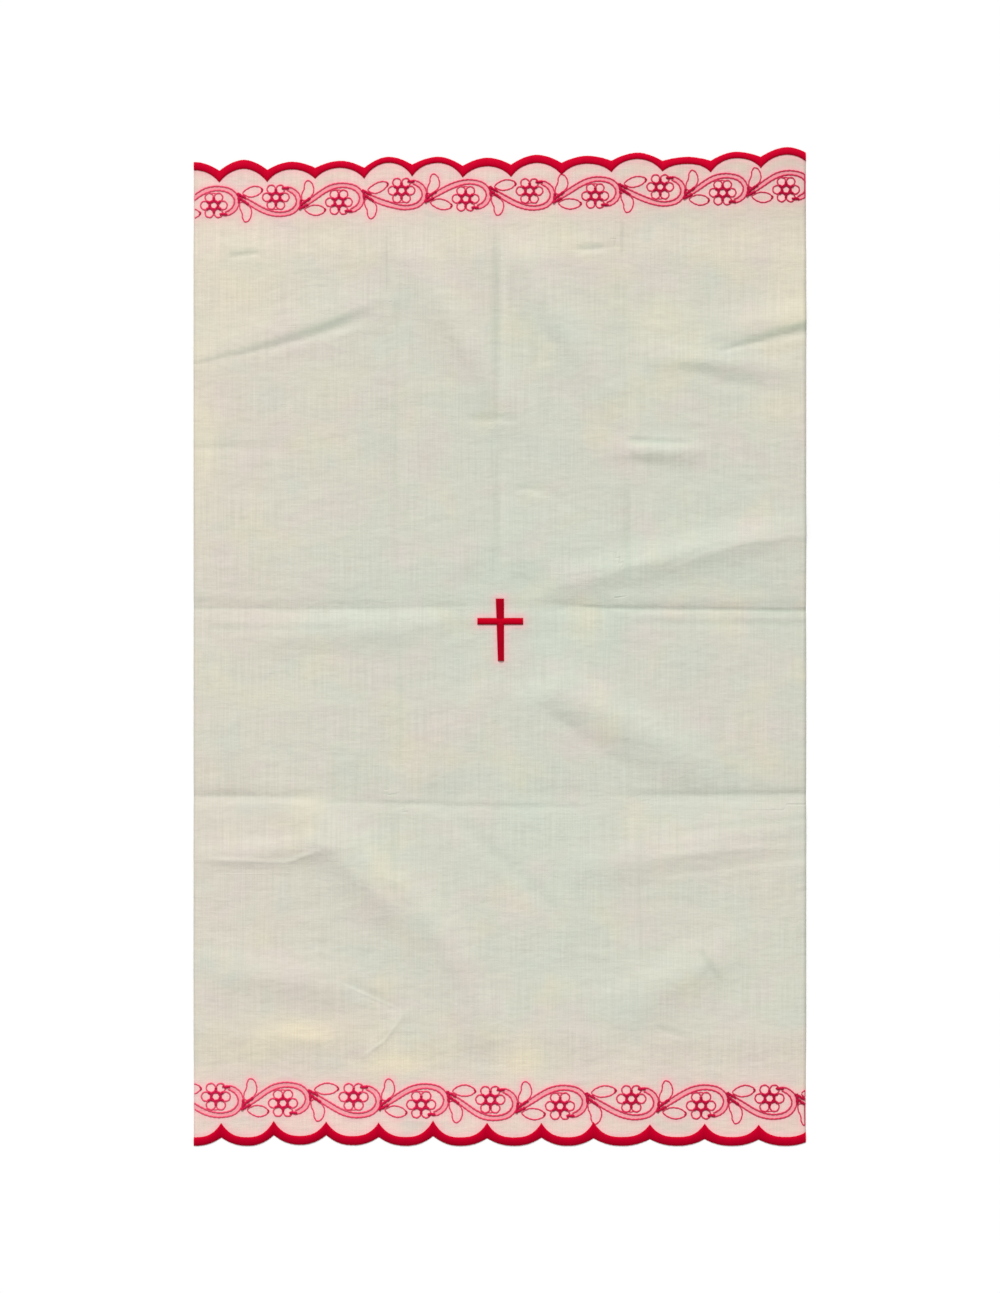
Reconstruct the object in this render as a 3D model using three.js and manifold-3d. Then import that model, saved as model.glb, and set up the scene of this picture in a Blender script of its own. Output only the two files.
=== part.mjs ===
// A purificator: a small altar cloth of plain-woven cotton, laid out flat on a table after it has
// been folded away. Both ends have a scalloped edge bound in satin stitch, a trailing vine of
// seven-circle flowers runs inside each end in outline stitch, and a satin-stitched Latin cross
// stands in the middle. The long sides are plain.
//
// Millimetres, +Z up, +Y towards the head end, where the top of the cross points.
// The origin is the middle of the cloth's underside, on the table.
import * as THREE from 'three';
import { mergeVertices } from 'three/addons/utils/BufferGeometryUtils.js';
import Module from 'manifold-3d';

const wasm = await Module();
wasm.setup();

// Driving dimensions
const CLOTH_WIDTH = 283.5;
const BOX_LENGTH = 462.6; // from the foot's crowns to the head's highest crown, at its right corner
const CLOTH_THICKNESS = 1.0;
const STITCH_GAP = 0.3; // clearance between the cloth and what is worked on it
const HALF_WIDTH = CLOTH_WIDTH / 2;
const HALF_LENGTH = BOX_LENGTH / 2;

// The satin-stitched scallop edging
const EDGING = { thickness: 2.0, stepsPerScallop: 5 };

// The outline-stitched vine and the satin-stitched cross
const THREAD = { width: 0.9, height: 0.6 };
const CROSS = {
  headY: 21.9, footY: -6.6, armY: 11.8, armReach: 10.3,
  headWidth: 3.7, footWidth: 2.8, armWidth: 3.0, footX: 0.6, lean: 0.6, height: 0.9,
};

// Each end's edge line, scallops and vine. way is +1 at the head and -1 at the foot. slope is how far
// the edge climbs for each millimetre to the right, because the cloth isn't cut quite square. Depths
// and offsets are measured from the line of the crowns towards the middle of the cloth.
const HEAD = {
  name: 'head',
  way: 1,
  crownY: HALF_LENGTH - 3.9, // the highest crown, at the right, then ends on the box
  band: 3.6, // breadth of the binding
  slope: 0.0238,
  roundness: 1.8,
  firstX: -152.6,
  firstCusp: 3.9,
  // width of each scallop, how far its crown stands proud of the line, depth of the cusp after it
  scallops: [
    { width: 22.7, crown: 0.4, cusp: 3.9 },
    { width: 22.2, crown: 0.9, cusp: 4.0 },
    { width: 22.2, crown: -0.5, cusp: 3.6 },
    { width: 22.7, crown: -0.6, cusp: 4.1 },
    { width: 22.2, crown: 0.7, cusp: 3.2 },
    { width: 23.4, crown: 0.2, cusp: 4.3 },
    { width: 22.4, crown: -0.8, cusp: 4.3 },
    { width: 23.4, crown: 0.0, cusp: 4.0 },
    { width: 23.1, crown: -1.0, cusp: 3.6 },
    { width: 23.6, crown: -0.1, cusp: 4.2 },
    { width: 22.4, crown: -2.6, cusp: 4.7 },
    { width: 23.2, crown: -0.8, cusp: 3.4 },
    { width: 24.2, crown: 0.8, cusp: 4.1 },
  ],
  pitch: 29.4,
  firstJoin: [-150.0, 202.2],
  // the middle of each flower, and the side to which the stem arches over it
  flowers: [
    { x: -132.4, y: 204.3, side: 1 },
    { x: -103.7, y: 208.1, side: -1 },
    { x: -74.5, y: 205.8, side: 1 },
    { x: -45.5, y: 211.2, side: -1 },
    { x: -15.8, y: 207.4, side: 1 },
    { x: 13.8, y: 211.0, side: -1 },
    { x: 44.2, y: 208.7, side: 1 },
    { x: 74.3, y: 212.9, side: -1 },
    { x: 103.2, y: 210.2, side: 1 },
    { x: 132.6, y: 211.6, side: 1 },
  ],
};
const FOOT = {
  name: 'foot',
  way: -1,
  crownY: -HALF_LENGTH,
  band: 4.2,
  slope: 0,
  roundness: 2.3,
  firstX: -153.3,
  firstCusp: 4.1,
  scallops: [
    { width: 24.3, crown: 0.0, cusp: 3.8 },
    { width: 24.3, crown: 0.0, cusp: 4.9 },
    { width: 24.3, crown: -0.5, cusp: 4.9 },
    { width: 24.3, crown: -0.3, cusp: 4.0 },
    { width: 25.2, crown: 0.0, cusp: 4.5 },
    { width: 25.0, crown: 0.0, cusp: 3.5 },
    { width: 25.2, crown: 0.0, cusp: 3.5 },
    { width: 24.1, crown: 0.0, cusp: 3.5 },
    { width: 26.1, crown: 0.0, cusp: 3.1 },
    { width: 25.4, crown: 0.0, cusp: 3.1 },
    { width: 25.0, crown: 0.0, cusp: 2.9 },
    { width: 25.4, crown: 0.0, cusp: 3.3 },
  ],
  pitch: 32.0,
  firstJoin: [-150.7, -207.3],
  flowers: [
    { x: -131.5, y: -208.4, side: -1 },
    { x: -100.4, y: -211.4, side: 1 },
    { x: -67.7, y: -208.5, side: -1 },
    { x: -36.4, y: -212.1, side: 1 },
    { x: -4.4, y: -209.8, side: -1 },
    { x: 27.9, y: -212.8, side: 1 },
    { x: 60.9, y: -209.4, side: -1 },
    { x: 93.2, y: -212.6, side: 1 },
    { x: 124.9, y: -209.2, side: -1 },
    { x: 156.6, y: -208.6, side: -1 },
  ],
};

// The lines that the cloth was pressed along when it was folded away. They touch the table, and the
// panels between them stand a little proud.
const PRESS_X = [-50.5, 0, 57.5];
const PRESS_Y = [-69.4, 18.3, 92.5];
const PANELS = { arch: 0.7, shoulder: 7 };

// The soft folds and creases. rise is the height at the middle, breadth the half width of the bump.
const FOLDS = [
  { from: [-100, -72], to: [-22, -140], rise: 1.9, breadth: 11 },
  { from: [-26, -136], to: [-2, -190], rise: 1.2, breadth: 9 },
  { from: [2, -8], to: [94, -56], rise: 1.5, breadth: 10 },
  { from: [36, -104], to: [140, -84], rise: 1.1, breadth: 9 },
  { from: [58, -168], to: [106, -140], rise: 1.4, breadth: 10 },
  { from: [-44, 186], to: [2, 108], rise: 1.5, breadth: 9 },
  { from: [6, 186], to: [46, 118], rise: 1.3, breadth: 9 },
  { from: [-137, 134], to: [-52, 160], rise: 0.7, breadth: 9 },
  { from: [98, 143], to: [150, 154], rise: 1.0, breadth: 8 },
  { from: [72, 134], to: [132, 128], rise: 1.0, breadth: 6 },
  { from: [56, 91], to: [92, 90], rise: 1.2, breadth: 5 },
  { from: [20, 27], to: [150, 57], rise: 1.2, breadth: 7 },
  { from: [-137, -97], to: [-78, -92], rise: 1.1, breadth: 5 },
  { from: [-136, -150], to: [-60, -160], rise: 1.0, breadth: 9 },
  { from: [-120, 4], to: [-14, 10], rise: 0.8, breadth: 7 },
];

// The embroidery is dense, so the cloth lies flat under it.
const FLAT_ENDS = { from: 196, to: 178 };
const FLAT_CENTRE = { x: 0, y: 7, radiusX: 15, radiusY: 21, fade: 14 };

// How many cells the cloth's grid has between one press line and the next, from left to right, and
// from the foot to the head, where the flat ends take a few cells of their own.
const COLUMNS = [8, 5, 5, 8];
const ROWS = [2, 9, 7, 6, 7, 2];

const COLOURS = { cloth: 0xd6d5c5, red: 0xc8002f };

const smoothstep = THREE.MathUtils.smoothstep;
const lerp = THREE.MathUtils.lerp;

// Height of the cloth's underside over the table

function distanceToSegment(x, y, from, to) {
  const [dx, dy] = [to[0] - from[0], to[1] - from[1]];
  const t = THREE.MathUtils.clamp(((x - from[0]) * dx + (y - from[1]) * dy) / (dx * dx + dy * dy), 0, 1);
  return { distance: Math.hypot(x - from[0] - t * dx, y - from[1] - t * dy), t };
}

function shoulder(value, lines) {
  const nearest = Math.min(...lines.map((line) => Math.abs(value - line)));
  return 1 - Math.exp(-nearest / PANELS.shoulder);
}

function flatness(x, y) {
  const ends = smoothstep(Math.abs(y), FLAT_ENDS.to, FLAT_ENDS.from);
  const { radiusX, radiusY, fade } = FLAT_CENTRE;
  const out = Math.hypot(
    Math.max(0, Math.abs(x - FLAT_CENTRE.x) - radiusX),
    Math.max(0, Math.abs(y - FLAT_CENTRE.y) - radiusY),
  );
  return Math.max(ends, 1 - smoothstep(out, 0, fade));
}

function underside(x, y) {
  let height = PANELS.arch * shoulder(y, PRESS_Y) * shoulder(x, PRESS_X);
  for (const fold of FOLDS) {
    const { distance, t } = distanceToSegment(x, y, fold.from, fold.to);
    const ends = Math.sin(Math.PI * lerp(0.12, 0.88, t));
    height += fold.rise * ends * Math.exp(-((distance / fold.breadth) ** 2));
  }
  return height * (1 - flatness(x, y));
}

// The edging's middle line at one end: a point on each side and every step along each scallop
function edgingPath(end) {
  const depthToMiddle = end.band / 2;
  const cuspExtra = 0.5; // the binding's notch is shallower than its middle line's
  const points = [];
  let x = end.firstX;
  let leftCusp = end.firstCusp;
  for (const { width, crown, cusp } of end.scallops) {
    const scallop = { x, width, crown, leftCusp, cusp };
    for (let i = 0; i < EDGING.stepsPerScallop; i++) {
      points.push({ x: x + (width * i) / EDGING.stepsPerScallop, scallop });
    }
    x += width;
    leftCusp = cusp;
  }
  const height = (px, { x: start, width, crown, leftCusp: left, cusp }) => {
    const u = ((px - start) / width) * 2 - 1;
    const valley = (u < 0 ? left : cusp) + cuspExtra;
    const offset = crown - (crown + valley) * Math.abs(u) ** end.roundness;
    return end.crownY + end.slope * px + end.way * (offset - depthToMiddle);
  };
  const inside = points.filter((p) => Math.abs(p.x) < HALF_WIDTH - 0.6);
  const first = { ...points.filter((p) => p.x < -HALF_WIDTH + 0.6).at(-1), x: -HALF_WIDTH };
  const last = { ...inside.at(-1), x: HALF_WIDTH };
  return [first, ...inside, last].map((p) => new THREE.Vector2(p.x, height(p.x, p.scallop)));
}

// The path moved sideways by distance, away from the middle of the cloth when distance is positive.
// Corners are mitred, and both ends stay on the cloth's sides.
function offsetPath(path, distance, way) {
  const normals = path.slice(1).map((p, i) => {
    const d = p.clone().sub(path[i]).normalize();
    return new THREE.Vector2(-d.y, d.x).multiplyScalar(way);
  });
  return path.map((p, i) => {
    const before = normals[Math.max(i - 1, 0)];
    const after = normals[Math.min(i, normals.length - 1)];
    const isEnd = i === 0 || i === path.length - 1;
    const mitre = isEnd ? new THREE.Vector2(0, way) : before.clone().add(after).normalize();
    return p.clone().addScaledVector(mitre, distance / mitre.dot(before));
  });
}

// The binding's section across the edge: s from the cloth's side to the outside, z up
function edgingSection(w) {
  const t = EDGING.thickness;
  return [
    [-0.4 * w, 0], [0.4 * w, 0], [0.5 * w, 0.4 * t], [0.3 * w, 0.88 * t], [0, t], [-0.3 * w, 0.88 * t],
    [-0.5 * w, 0.4 * t],
  ];
}

function closedGeometry(positions, triangles) {
  const geometry = new THREE.BufferGeometry();
  geometry.setAttribute('position', new THREE.Float32BufferAttribute(positions, 3));
  geometry.setIndex(triangles);
  geometry.computeVertexNormals();
  return geometry;
}

function edging(end) {
  const path = edgingPath(end);
  const section = edgingSection(end.band);
  const sides = section.length;
  const lines = section.map(([s]) => offsetPath(path, s, end.way));
  const positions = path.flatMap((_, i) =>
    section.flatMap(([, z], k) => [lines[k][i].x, lines[k][i].y, z]));
  const triangles = [];
  const push = (a, b, c) => triangles.push(...(end.way > 0 ? [a, c, b] : [a, b, c]));
  for (let i = 0; i + 1 < path.length; i++) {
    for (let k = 0; k < sides; k++) {
      const [a, b] = [i * sides + k, i * sides + ((k + 1) % sides)];
      push(a, b + sides, b);
      push(a, a + sides, b + sides);
    }
  }
  const last = (path.length - 1) * sides;
  for (let k = 1; k + 1 < sides; k++) {
    push(0, k, k + 1);
    push(last, last + k + 1, last + k);
  }
  return closedGeometry(positions, triangles);
}

// The cloth: rows of points from foot to head, scalloped at both ends
function divided(stops, counts) {
  return counts.flatMap((count, i) =>
    Array.from({ length: count }, (_, j) => lerp(stops[i], stops[i + 1], j / count)));
}

function clothRows() {
  const xs = [...divided([-HALF_WIDTH, ...PRESS_X, HALF_WIDTH], COLUMNS), HALF_WIDTH];
  const inset = (end) => (x) => end.crownY + end.slope * x - end.way * 11.5;
  const footLine = inset(FOOT);
  const headLine = inset(HEAD);
  const levels = divided([footLine(0), -FLAT_ENDS.to, ...PRESS_Y, FLAT_ENDS.to, headLine(0)], ROWS);
  const rows = levels.map((y) => xs.map((x) => {
    // The rows lean with the head's edge as they come near it.
    const share = smoothstep(y, PRESS_Y.at(-1), headLine(0));
    return new THREE.Vector2(x, y + share * (headLine(x) - headLine(0)));
  }));
  const topRow = xs.map((x) => new THREE.Vector2(x, headLine(x)));
  const edgeOf = (end) => offsetPath(edgingPath(end), -end.band / 2 - STITCH_GAP, end.way);
  return [edgeOf(FOOT), ...rows, topRow, edgeOf(HEAD)];
}

// Triangles between two rows that share their first and last x, seen from above
function zip(lower, upper, lowerStart, upperStart, triangles) {
  let [i, j] = [0, 0];
  while (i < lower.length - 1 || j < upper.length - 1) {
    const lowerNext = i < lower.length - 1 ? lower[i + 1].x : Infinity;
    const upperNext = j < upper.length - 1 ? upper[j + 1].x : Infinity;
    if (lowerNext <= upperNext) {
      triangles.push([lowerStart + i, lowerStart + i + 1, upperStart + j]);
      i++;
    } else {
      triangles.push([lowerStart + i, upperStart + j + 1, upperStart + j]);
      j++;
    }
  }
}

function cloth() {
  const rows = clothRows();
  const starts = [];
  const points = [];
  for (const row of rows) {
    starts.push(points.length);
    points.push(...row);
  }
  const face = [];
  for (let r = 0; r + 1 < rows.length; r++) {
    zip(rows[r], rows[r + 1], starts[r], starts[r + 1], face);
  }
  const rightEnds = rows.map((row, r) => starts[r] + row.length - 1);
  const last = rows.length - 1;
  const rim = [
    ...rows[0].map((_, i) => starts[0] + i),
    ...rightEnds.slice(1, last),
    ...rows[last].map((_, i) => starts[last] + i).reverse(),
    ...starts.slice(1, last).reverse(),
  ];
  const under = points.length;
  const heights = points.map((p) => underside(p.x, p.y));
  const positions = [
    ...points.flatMap((p, i) => [p.x, p.y, heights[i] + CLOTH_THICKNESS]),
    ...points.flatMap((p, i) => [p.x, p.y, heights[i]]),
  ];
  const triangles = [
    ...face.flat(),
    ...face.flatMap(([a, b, c]) => [a + under, c + under, b + under]),
    ...rim.flatMap((a, i) => {
      const b = rim[(i + 1) % rim.length];
      return [a, a + under, b + under, a, b + under, b];
    }),
  ];
  return closedGeometry(positions, triangles);
}

// Solids joined and cut with manifold-3d

function toManifold(geometry) {
  const bare = geometry.clone();
  bare.deleteAttribute('normal');
  bare.deleteAttribute('uv');
  const merged = mergeVertices(bare, 1e-4);
  return new wasm.Manifold(new wasm.Mesh({
    numProp: 3,
    vertProperties: merged.attributes.position.array,
    triVerts: new Uint32Array(merged.index.array),
  }));
}

function toGeometry(solid) {
  const mesh = solid.getMesh();
  return closedGeometry(Array.from(mesh.vertProperties), Array.from(mesh.triVerts));
}

// The outline is turned anticlockwise, and ExtrudeGeometry then turns the holes the other way.
function extruded(outline, holes, depth) {
  const clockwise = THREE.ShapeUtils.isClockWise(outline);
  const shape = new THREE.Shape(clockwise ? [...outline].reverse() : outline);
  shape.holes = holes.map((hole) => new THREE.Path(hole));
  return toManifold(new THREE.ExtrudeGeometry(shape, { depth, bevelEnabled: false }));
}

// The vine. One repeat is charted in flower pitches from its flower's middle, with the side that the
// stem passes on up.
const VINE = {
  petalRing: 0.142,
  petalRadius: 0.067,
  curl: { centre: [0.06, 0.06], outer: [0.33, 0.235], inner: [0.258, 0.165], endDegrees: -82 },
  joinDegrees: 22, // where the next stem leaves the curl
  sameSideJoinDegrees: -16,
  join: [-0.6, -0.035], // where a stem is charted to start
  outerStem: { leave: [0.22, 0.17], arrive: [-0.2, 0.295] },
  innerStem: { start: [0.025, -0.022], leave: [0.22, 0.12], arrive: [-0.2, 0.225] },
  lens: { root: [-0.6, -0.045], tip: [-0.214, -0.12], bulge: 0.084 },
  comma: {
    root: [-0.545, 0.03], rootRight: [-0.45, 0.08], tip: [-0.53, 0.345], crown: [-0.465, 0.36],
    left: [[-0.63, 0.14], [-0.55, 0.22]], right: [[-0.37, 0.31], [-0.385, 0.16]],
  },
  stemSteps: 3,
  curlSteps: 4,
  leafSteps: 3,
  commaSteps: 2,
  holeCorners: 6,
};

function ellipsePoint([cx, cy], [rx, ry], degrees) {
  const angle = THREE.MathUtils.degToRad(degrees);
  return new THREE.Vector2(cx + rx * Math.cos(angle), cy + ry * Math.sin(angle));
}

function curlLine(radii, fromDegrees) {
  const { centre, endDegrees } = VINE.curl;
  return Array.from({ length: VINE.curlSteps + 1 }, (_, i) =>
    ellipsePoint(centre, radii, lerp(fromDegrees, endDegrees, i / VINE.curlSteps)));
}

function bezier(points, steps) {
  return new THREE.CubicBezierCurve(...points).getPoints(steps);
}

// A line of thread, as the outline of a strip with mitred corners
function threadStrip(line) {
  const left = offsetStrip(line, THREAD.width / 2);
  const right = offsetStrip(line, -THREAD.width / 2);
  return extruded([...left, ...right.reverse()], [], THREAD.height);
}

function offsetStrip(line, distance) {
  const normals = line.slice(1).map((p, i) => {
    const d = p.clone().sub(line[i]).normalize();
    return new THREE.Vector2(-d.y, d.x);
  });
  return line.map((p, i) => {
    const before = normals[Math.max(i - 1, 0)];
    const after = normals[Math.min(i, normals.length - 1)];
    const mitre = before.clone().add(after).normalize();
    return p.clone().addScaledVector(mitre, distance / Math.max(mitre.dot(before), 0.6));
  });
}

// A closed line of thread, as a plate with its middle cut out
function threadRing(line) {
  const open = line[0].distanceTo(line.at(-1)) > 1e-6 ? line : line.slice(0, -1);
  const middle = open.reduce((sum, p) => sum.add(p), new THREE.Vector2()).divideScalar(open.length);
  const grown = (distance) => open.map((p) => {
    const out = p.clone().sub(middle);
    return middle.clone().addScaledVector(out, 1 + distance / out.length());
  });
  return extruded(grown(THREAD.width / 2), [grown(-THREAD.width / 2)], THREAD.height);
}

function lensLeaf() {
  const [root, tip] = [VINE.lens.root, VINE.lens.tip].map((p) => new THREE.Vector2(...p));
  const along = tip.clone().sub(root);
  const across = new THREE.Vector2(-along.y, along.x).normalize().multiplyScalar(VINE.lens.bulge * 4 / 3);
  const side = (sign) => [
    root.clone().addScaledVector(along, 0.2).addScaledVector(across, sign),
    root.clone().addScaledVector(along, 0.75).addScaledVector(across, sign),
  ];
  const [up, down] = [side(1), side(-1)];
  return [
    ...bezier([root, up[0], up[1], tip], VINE.leafSteps),
    ...bezier([tip, down[1], down[0], root], VINE.leafSteps).slice(1),
  ];
}

function commaLeaf() {
  const v = (p) => new THREE.Vector2(...p);
  const { root, rootRight, tip, crown, left, right } = VINE.comma;
  return [
    ...bezier([v(root), v(left[0]), v(left[1]), v(tip)], VINE.commaSteps),
    ...bezier([v(crown), v(right[0]), v(right[1]), v(rootRight)], VINE.commaSteps),
  ];
}

// Seven rings of thread that touch: the outline of the six petals, with seven round holes
function flower(pitch, place) {
  const ring = VINE.petalRing * pitch;
  const petal = VINE.petalRadius * pitch;
  const outer = petal + THREAD.width / 2;
  const petals = Array.from({ length: 6 }, (_, k) => (k * Math.PI) / 3);
  const circle = (cx, cy, radius) => Array.from({ length: VINE.holeCorners }, (_, i) => {
    const angle = (i / VINE.holeCorners) * Math.PI * 2;
    return place(new THREE.Vector2(cx + radius * Math.cos(angle), cy + radius * Math.sin(angle)));
  });
  const polar = (angle, radius) =>
    new THREE.Vector2(Math.cos(angle), Math.sin(angle)).multiplyScalar(radius);
  const outline = petals.flatMap((angle) =>
    [-0.6, 0.6].map((turn) => place(polar(angle, ring).add(polar(angle + turn, outer)))));
  const hole = petal - THREAD.width / 2;
  const holes = [
    circle(0, 0, hole),
    ...petals.map((angle) => circle(ring * Math.cos(angle), ring * Math.sin(angle), hole)),
  ];
  return extruded(outline, holes, THREAD.height);
}

// One stem line: from the join, over the flower and round its curl
function stemLine(stem, radii, join) {
  const start = join.clone().add(new THREE.Vector2(...(stem.start ?? [0, 0])));
  const leave = start.clone().add(new THREE.Vector2(...stem.leave));
  const crest = ellipsePoint(VINE.curl.centre, radii, 90);
  const rise = bezier([start, leave, new THREE.Vector2(...stem.arrive), crest], VINE.stemSteps);
  return [...rise, ...curlLine(radii, 90).slice(1)];
}

// One repeat: both stem lines, the flower and the two leaves. join is where the stem starts.
function repeat(flowerRow, pitch, join) {
  const { x, y, side } = flowerRow;
  const place = (p) => new THREE.Vector2(x + p.x * pitch, y + side * p.y * pitch);
  const joinChart = new THREE.Vector2((join.x - x) / pitch, (side * (join.y - y)) / pitch);
  const pull = joinChart.clone().sub(new THREE.Vector2(...VINE.join));
  // The leaves are drawn towards the join, the more the nearer they are to it.
  const drawn = (p) => place(p.clone().addScaledVector(pull, 1 - smoothstep(p.x, -0.5, -0.1)));
  const pieces = [
    threadStrip(stemLine(VINE.outerStem, VINE.curl.outer, joinChart).map(place)),
    threadStrip(stemLine(VINE.innerStem, VINE.curl.inner, joinChart).map(place)),
    flower(pitch, (p) => new THREE.Vector2(x + p.x, y + side * p.y)),
  ];
  const rootIsOnCloth = join.x > -HALF_WIDTH;
  if (rootIsOnCloth) {
    pieces.push(threadRing(lensLeaf().map(drawn)), threadRing(commaLeaf().map(drawn)));
  }
  return pieces;
}

// Where the stem of the flower after this one leaves the curl
function nextJoin({ x, y, side }, following, pitch) {
  const degrees = following?.side === side ? VINE.sameSideJoinDegrees : VINE.joinDegrees;
  const p = ellipsePoint(VINE.curl.centre, VINE.curl.outer, degrees);
  return new THREE.Vector2(x + p.x * pitch, y + side * p.y * pitch);
}

function vine(end) {
  let join = new THREE.Vector2(...end.firstJoin);
  const pieces = end.flowers.flatMap((row, i) => {
    const worked = repeat(row, end.pitch, join);
    join = nextJoin(row, end.flowers[i + 1], end.pitch);
    return worked;
  });
  const joined = pieces.reduce((all, piece) => all.add(piece));
  const within = toManifold(new THREE.BoxGeometry(CLOTH_WIDTH - 1, BOX_LENGTH, 10));
  return toGeometry(joined.intersect(within));
}

// The cross: an upright that narrows and leans a little, and a shorter arm, both crowned
function satinBar(length, startWidth, endWidth) {
  const section = (w) => [
    [-w / 2, 0], [w / 2, 0], [w / 2, 0.45], [w / 4, CROSS.height], [-w / 4, CROSS.height], [-w / 2, 0.45],
  ];
  const ends = [section(startWidth), section(endWidth)];
  const sides = ends[0].length;
  const positions = ends.flatMap((points, i) => points.flatMap(([x, z]) => [x, i * length, z]));
  const triangles = [];
  for (let k = 0; k < sides; k++) {
    const b = (k + 1) % sides;
    triangles.push(k, b + sides, b, k, k + sides, b + sides);
  }
  for (let k = 1; k + 1 < sides; k++) {
    triangles.push(0, k, k + 1, sides, sides + k + 1, sides + k);
  }
  return closedGeometry(positions, triangles);
}

function cross() {
  const { headY, footY, armY, armReach, headWidth, footWidth, armWidth, footX, lean } = CROSS;
  const height = headY - footY;
  const upright = satinBar(height, footWidth, headWidth);
  upright.rotateZ(Math.atan(lean / height)).translate(footX, footY, 0);
  const arm = satinBar(2 * armReach, armWidth, armWidth);
  arm.rotateZ(-Math.PI / 2).translate(footX - lean / 2 - armReach, armY, 0);
  return toGeometry(toManifold(upright).add(toManifold(arm)));
}

// The scene graph
const weave = new THREE.MeshStandardMaterial({ color: COLOURS.cloth, roughness: 0.95, metalness: 0 });
const satin = new THREE.MeshStandardMaterial({ color: COLOURS.red, roughness: 0.5, metalness: 0 });
const outline = new THREE.MeshStandardMaterial({ color: COLOURS.red, roughness: 0.7, metalness: 0 });

function named(name, geometry, material) {
  const mesh = new THREE.Mesh(geometry, material);
  mesh.name = name;
  return mesh;
}

const purificator = new THREE.Group();
purificator.add(named('cloth', cloth(), weave));

for (const end of [HEAD, FOOT]) {
  purificator.add(named(`${end.name}_scallop_edging`, edging(end), satin));
}

const embroidery = new THREE.Group();
embroidery.position.z = CLOTH_THICKNESS + STITCH_GAP;
for (const end of [HEAD, FOOT]) {
  embroidery.add(named(`${end.name}_vine`, vine(end), outline));
}
embroidery.add(named('cross', cross(), satin));
purificator.add(embroidery);

export default purificator;
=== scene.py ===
"""A purificator, a small embroidered altar cloth, laid out flat and seen from straight above.

The cloth, its two satin-stitched edgings, its two vines and its cross are each built by an operator of
their own, and the sidebar panel lists them. Lengths in the tables are millimetres, +X to the right,
+Y to the head end and +Z up, from the middle of the cloth's underside on the table.
"""
import math
import random

import bmesh
import bpy
from bpy.props import FloatProperty, FloatVectorProperty, PointerProperty
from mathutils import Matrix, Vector, kdtree, noise


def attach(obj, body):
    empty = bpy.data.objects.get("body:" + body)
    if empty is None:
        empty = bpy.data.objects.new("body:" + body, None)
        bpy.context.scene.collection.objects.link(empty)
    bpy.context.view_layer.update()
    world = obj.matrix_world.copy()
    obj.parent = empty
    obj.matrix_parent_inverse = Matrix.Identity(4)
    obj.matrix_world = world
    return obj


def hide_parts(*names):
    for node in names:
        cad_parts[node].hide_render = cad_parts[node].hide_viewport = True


bl_info = {
    "name": "Purificator",
    "version": (1, 0, 0),
    "blender": (4, 5, 0),
    "location": "View3D > Sidebar > Purificator",
    "description": "Builds a small embroidered altar cloth and the stage that it lies on",
    "category": "Add Mesh",
}

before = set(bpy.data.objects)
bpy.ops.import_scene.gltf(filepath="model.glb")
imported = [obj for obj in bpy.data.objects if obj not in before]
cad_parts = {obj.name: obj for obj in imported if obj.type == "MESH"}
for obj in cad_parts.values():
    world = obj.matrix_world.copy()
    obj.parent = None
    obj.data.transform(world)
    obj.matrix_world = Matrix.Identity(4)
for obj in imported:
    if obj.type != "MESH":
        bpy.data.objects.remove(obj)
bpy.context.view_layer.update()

MM = 0.001
HALF_WIDTH = 141.75
HALF_LENGTH = 231.3
# The pieces worked in thread. The cloth is tinted along them, so they are made before it.
THREADWORK = ("head_stitched_vine", "foot_stitched_vine", "head_satin_edging", "foot_satin_edging",
              "satin_cross")

# Each end's edge line. way is +1 at the head and -1 at the foot, slope is the climb of the edge for
# each millimetre to the right, and depths are measured from the crowns towards the cloth's middle.
# Columns of the scallops: width, how far the crown stands proud of the line, the binding's breadth at
# the crown, depth of the cusp that follows, and the binding's breadth there.
# Columns of the flowers: x and y of the middle, and the side to which the stem arches over it.
HEAD = {
    "way": 1, "crown_y": HALF_LENGTH - 3.9, "slope": 0.0238, "roundness": 1.8, "first_x": -152.6,
    "first_cusp": (3.9, 4.2),
    "scallops": [
        (22.7, 0.4, 3.9, 3.9, 5.6), (22.2, 0.9, 4.3, 4.0, 5.8), (22.2, -0.5, 3.7, 3.6, 5.2),
        (22.7, -0.6, 3.4, 4.1, 5.2), (22.2, 0.7, 2.9, 3.2, 5.6), (23.4, 0.2, 3.0, 4.3, 5.6),
        (22.4, -0.8, 4.1, 4.3, 5.8), (23.4, 0.0, 3.9, 4.0, 5.8), (23.1, -1.0, 3.8, 3.6, 5.4),
        (23.6, -0.1, 3.1, 4.2, 5.0), (22.4, -2.6, 3.4, 4.7, 5.5), (23.2, -0.8, 3.1, 3.4, 5.4),
        (24.2, 0.8, 3.6, 4.1, 5.4),
    ],
    "pitch": 29.4, "first_joint": (-150.0, 202.2),
    "flowers": [
        (-132.4, 204.3, 1), (-103.7, 208.1, -1), (-74.5, 205.8, 1), (-45.5, 211.2, -1),
        (-15.8, 207.4, 1), (13.8, 211.0, -1), (44.2, 208.7, 1), (74.3, 212.9, -1),
        (103.2, 210.2, 1), (132.6, 211.6, 1),
    ],
}
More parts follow.
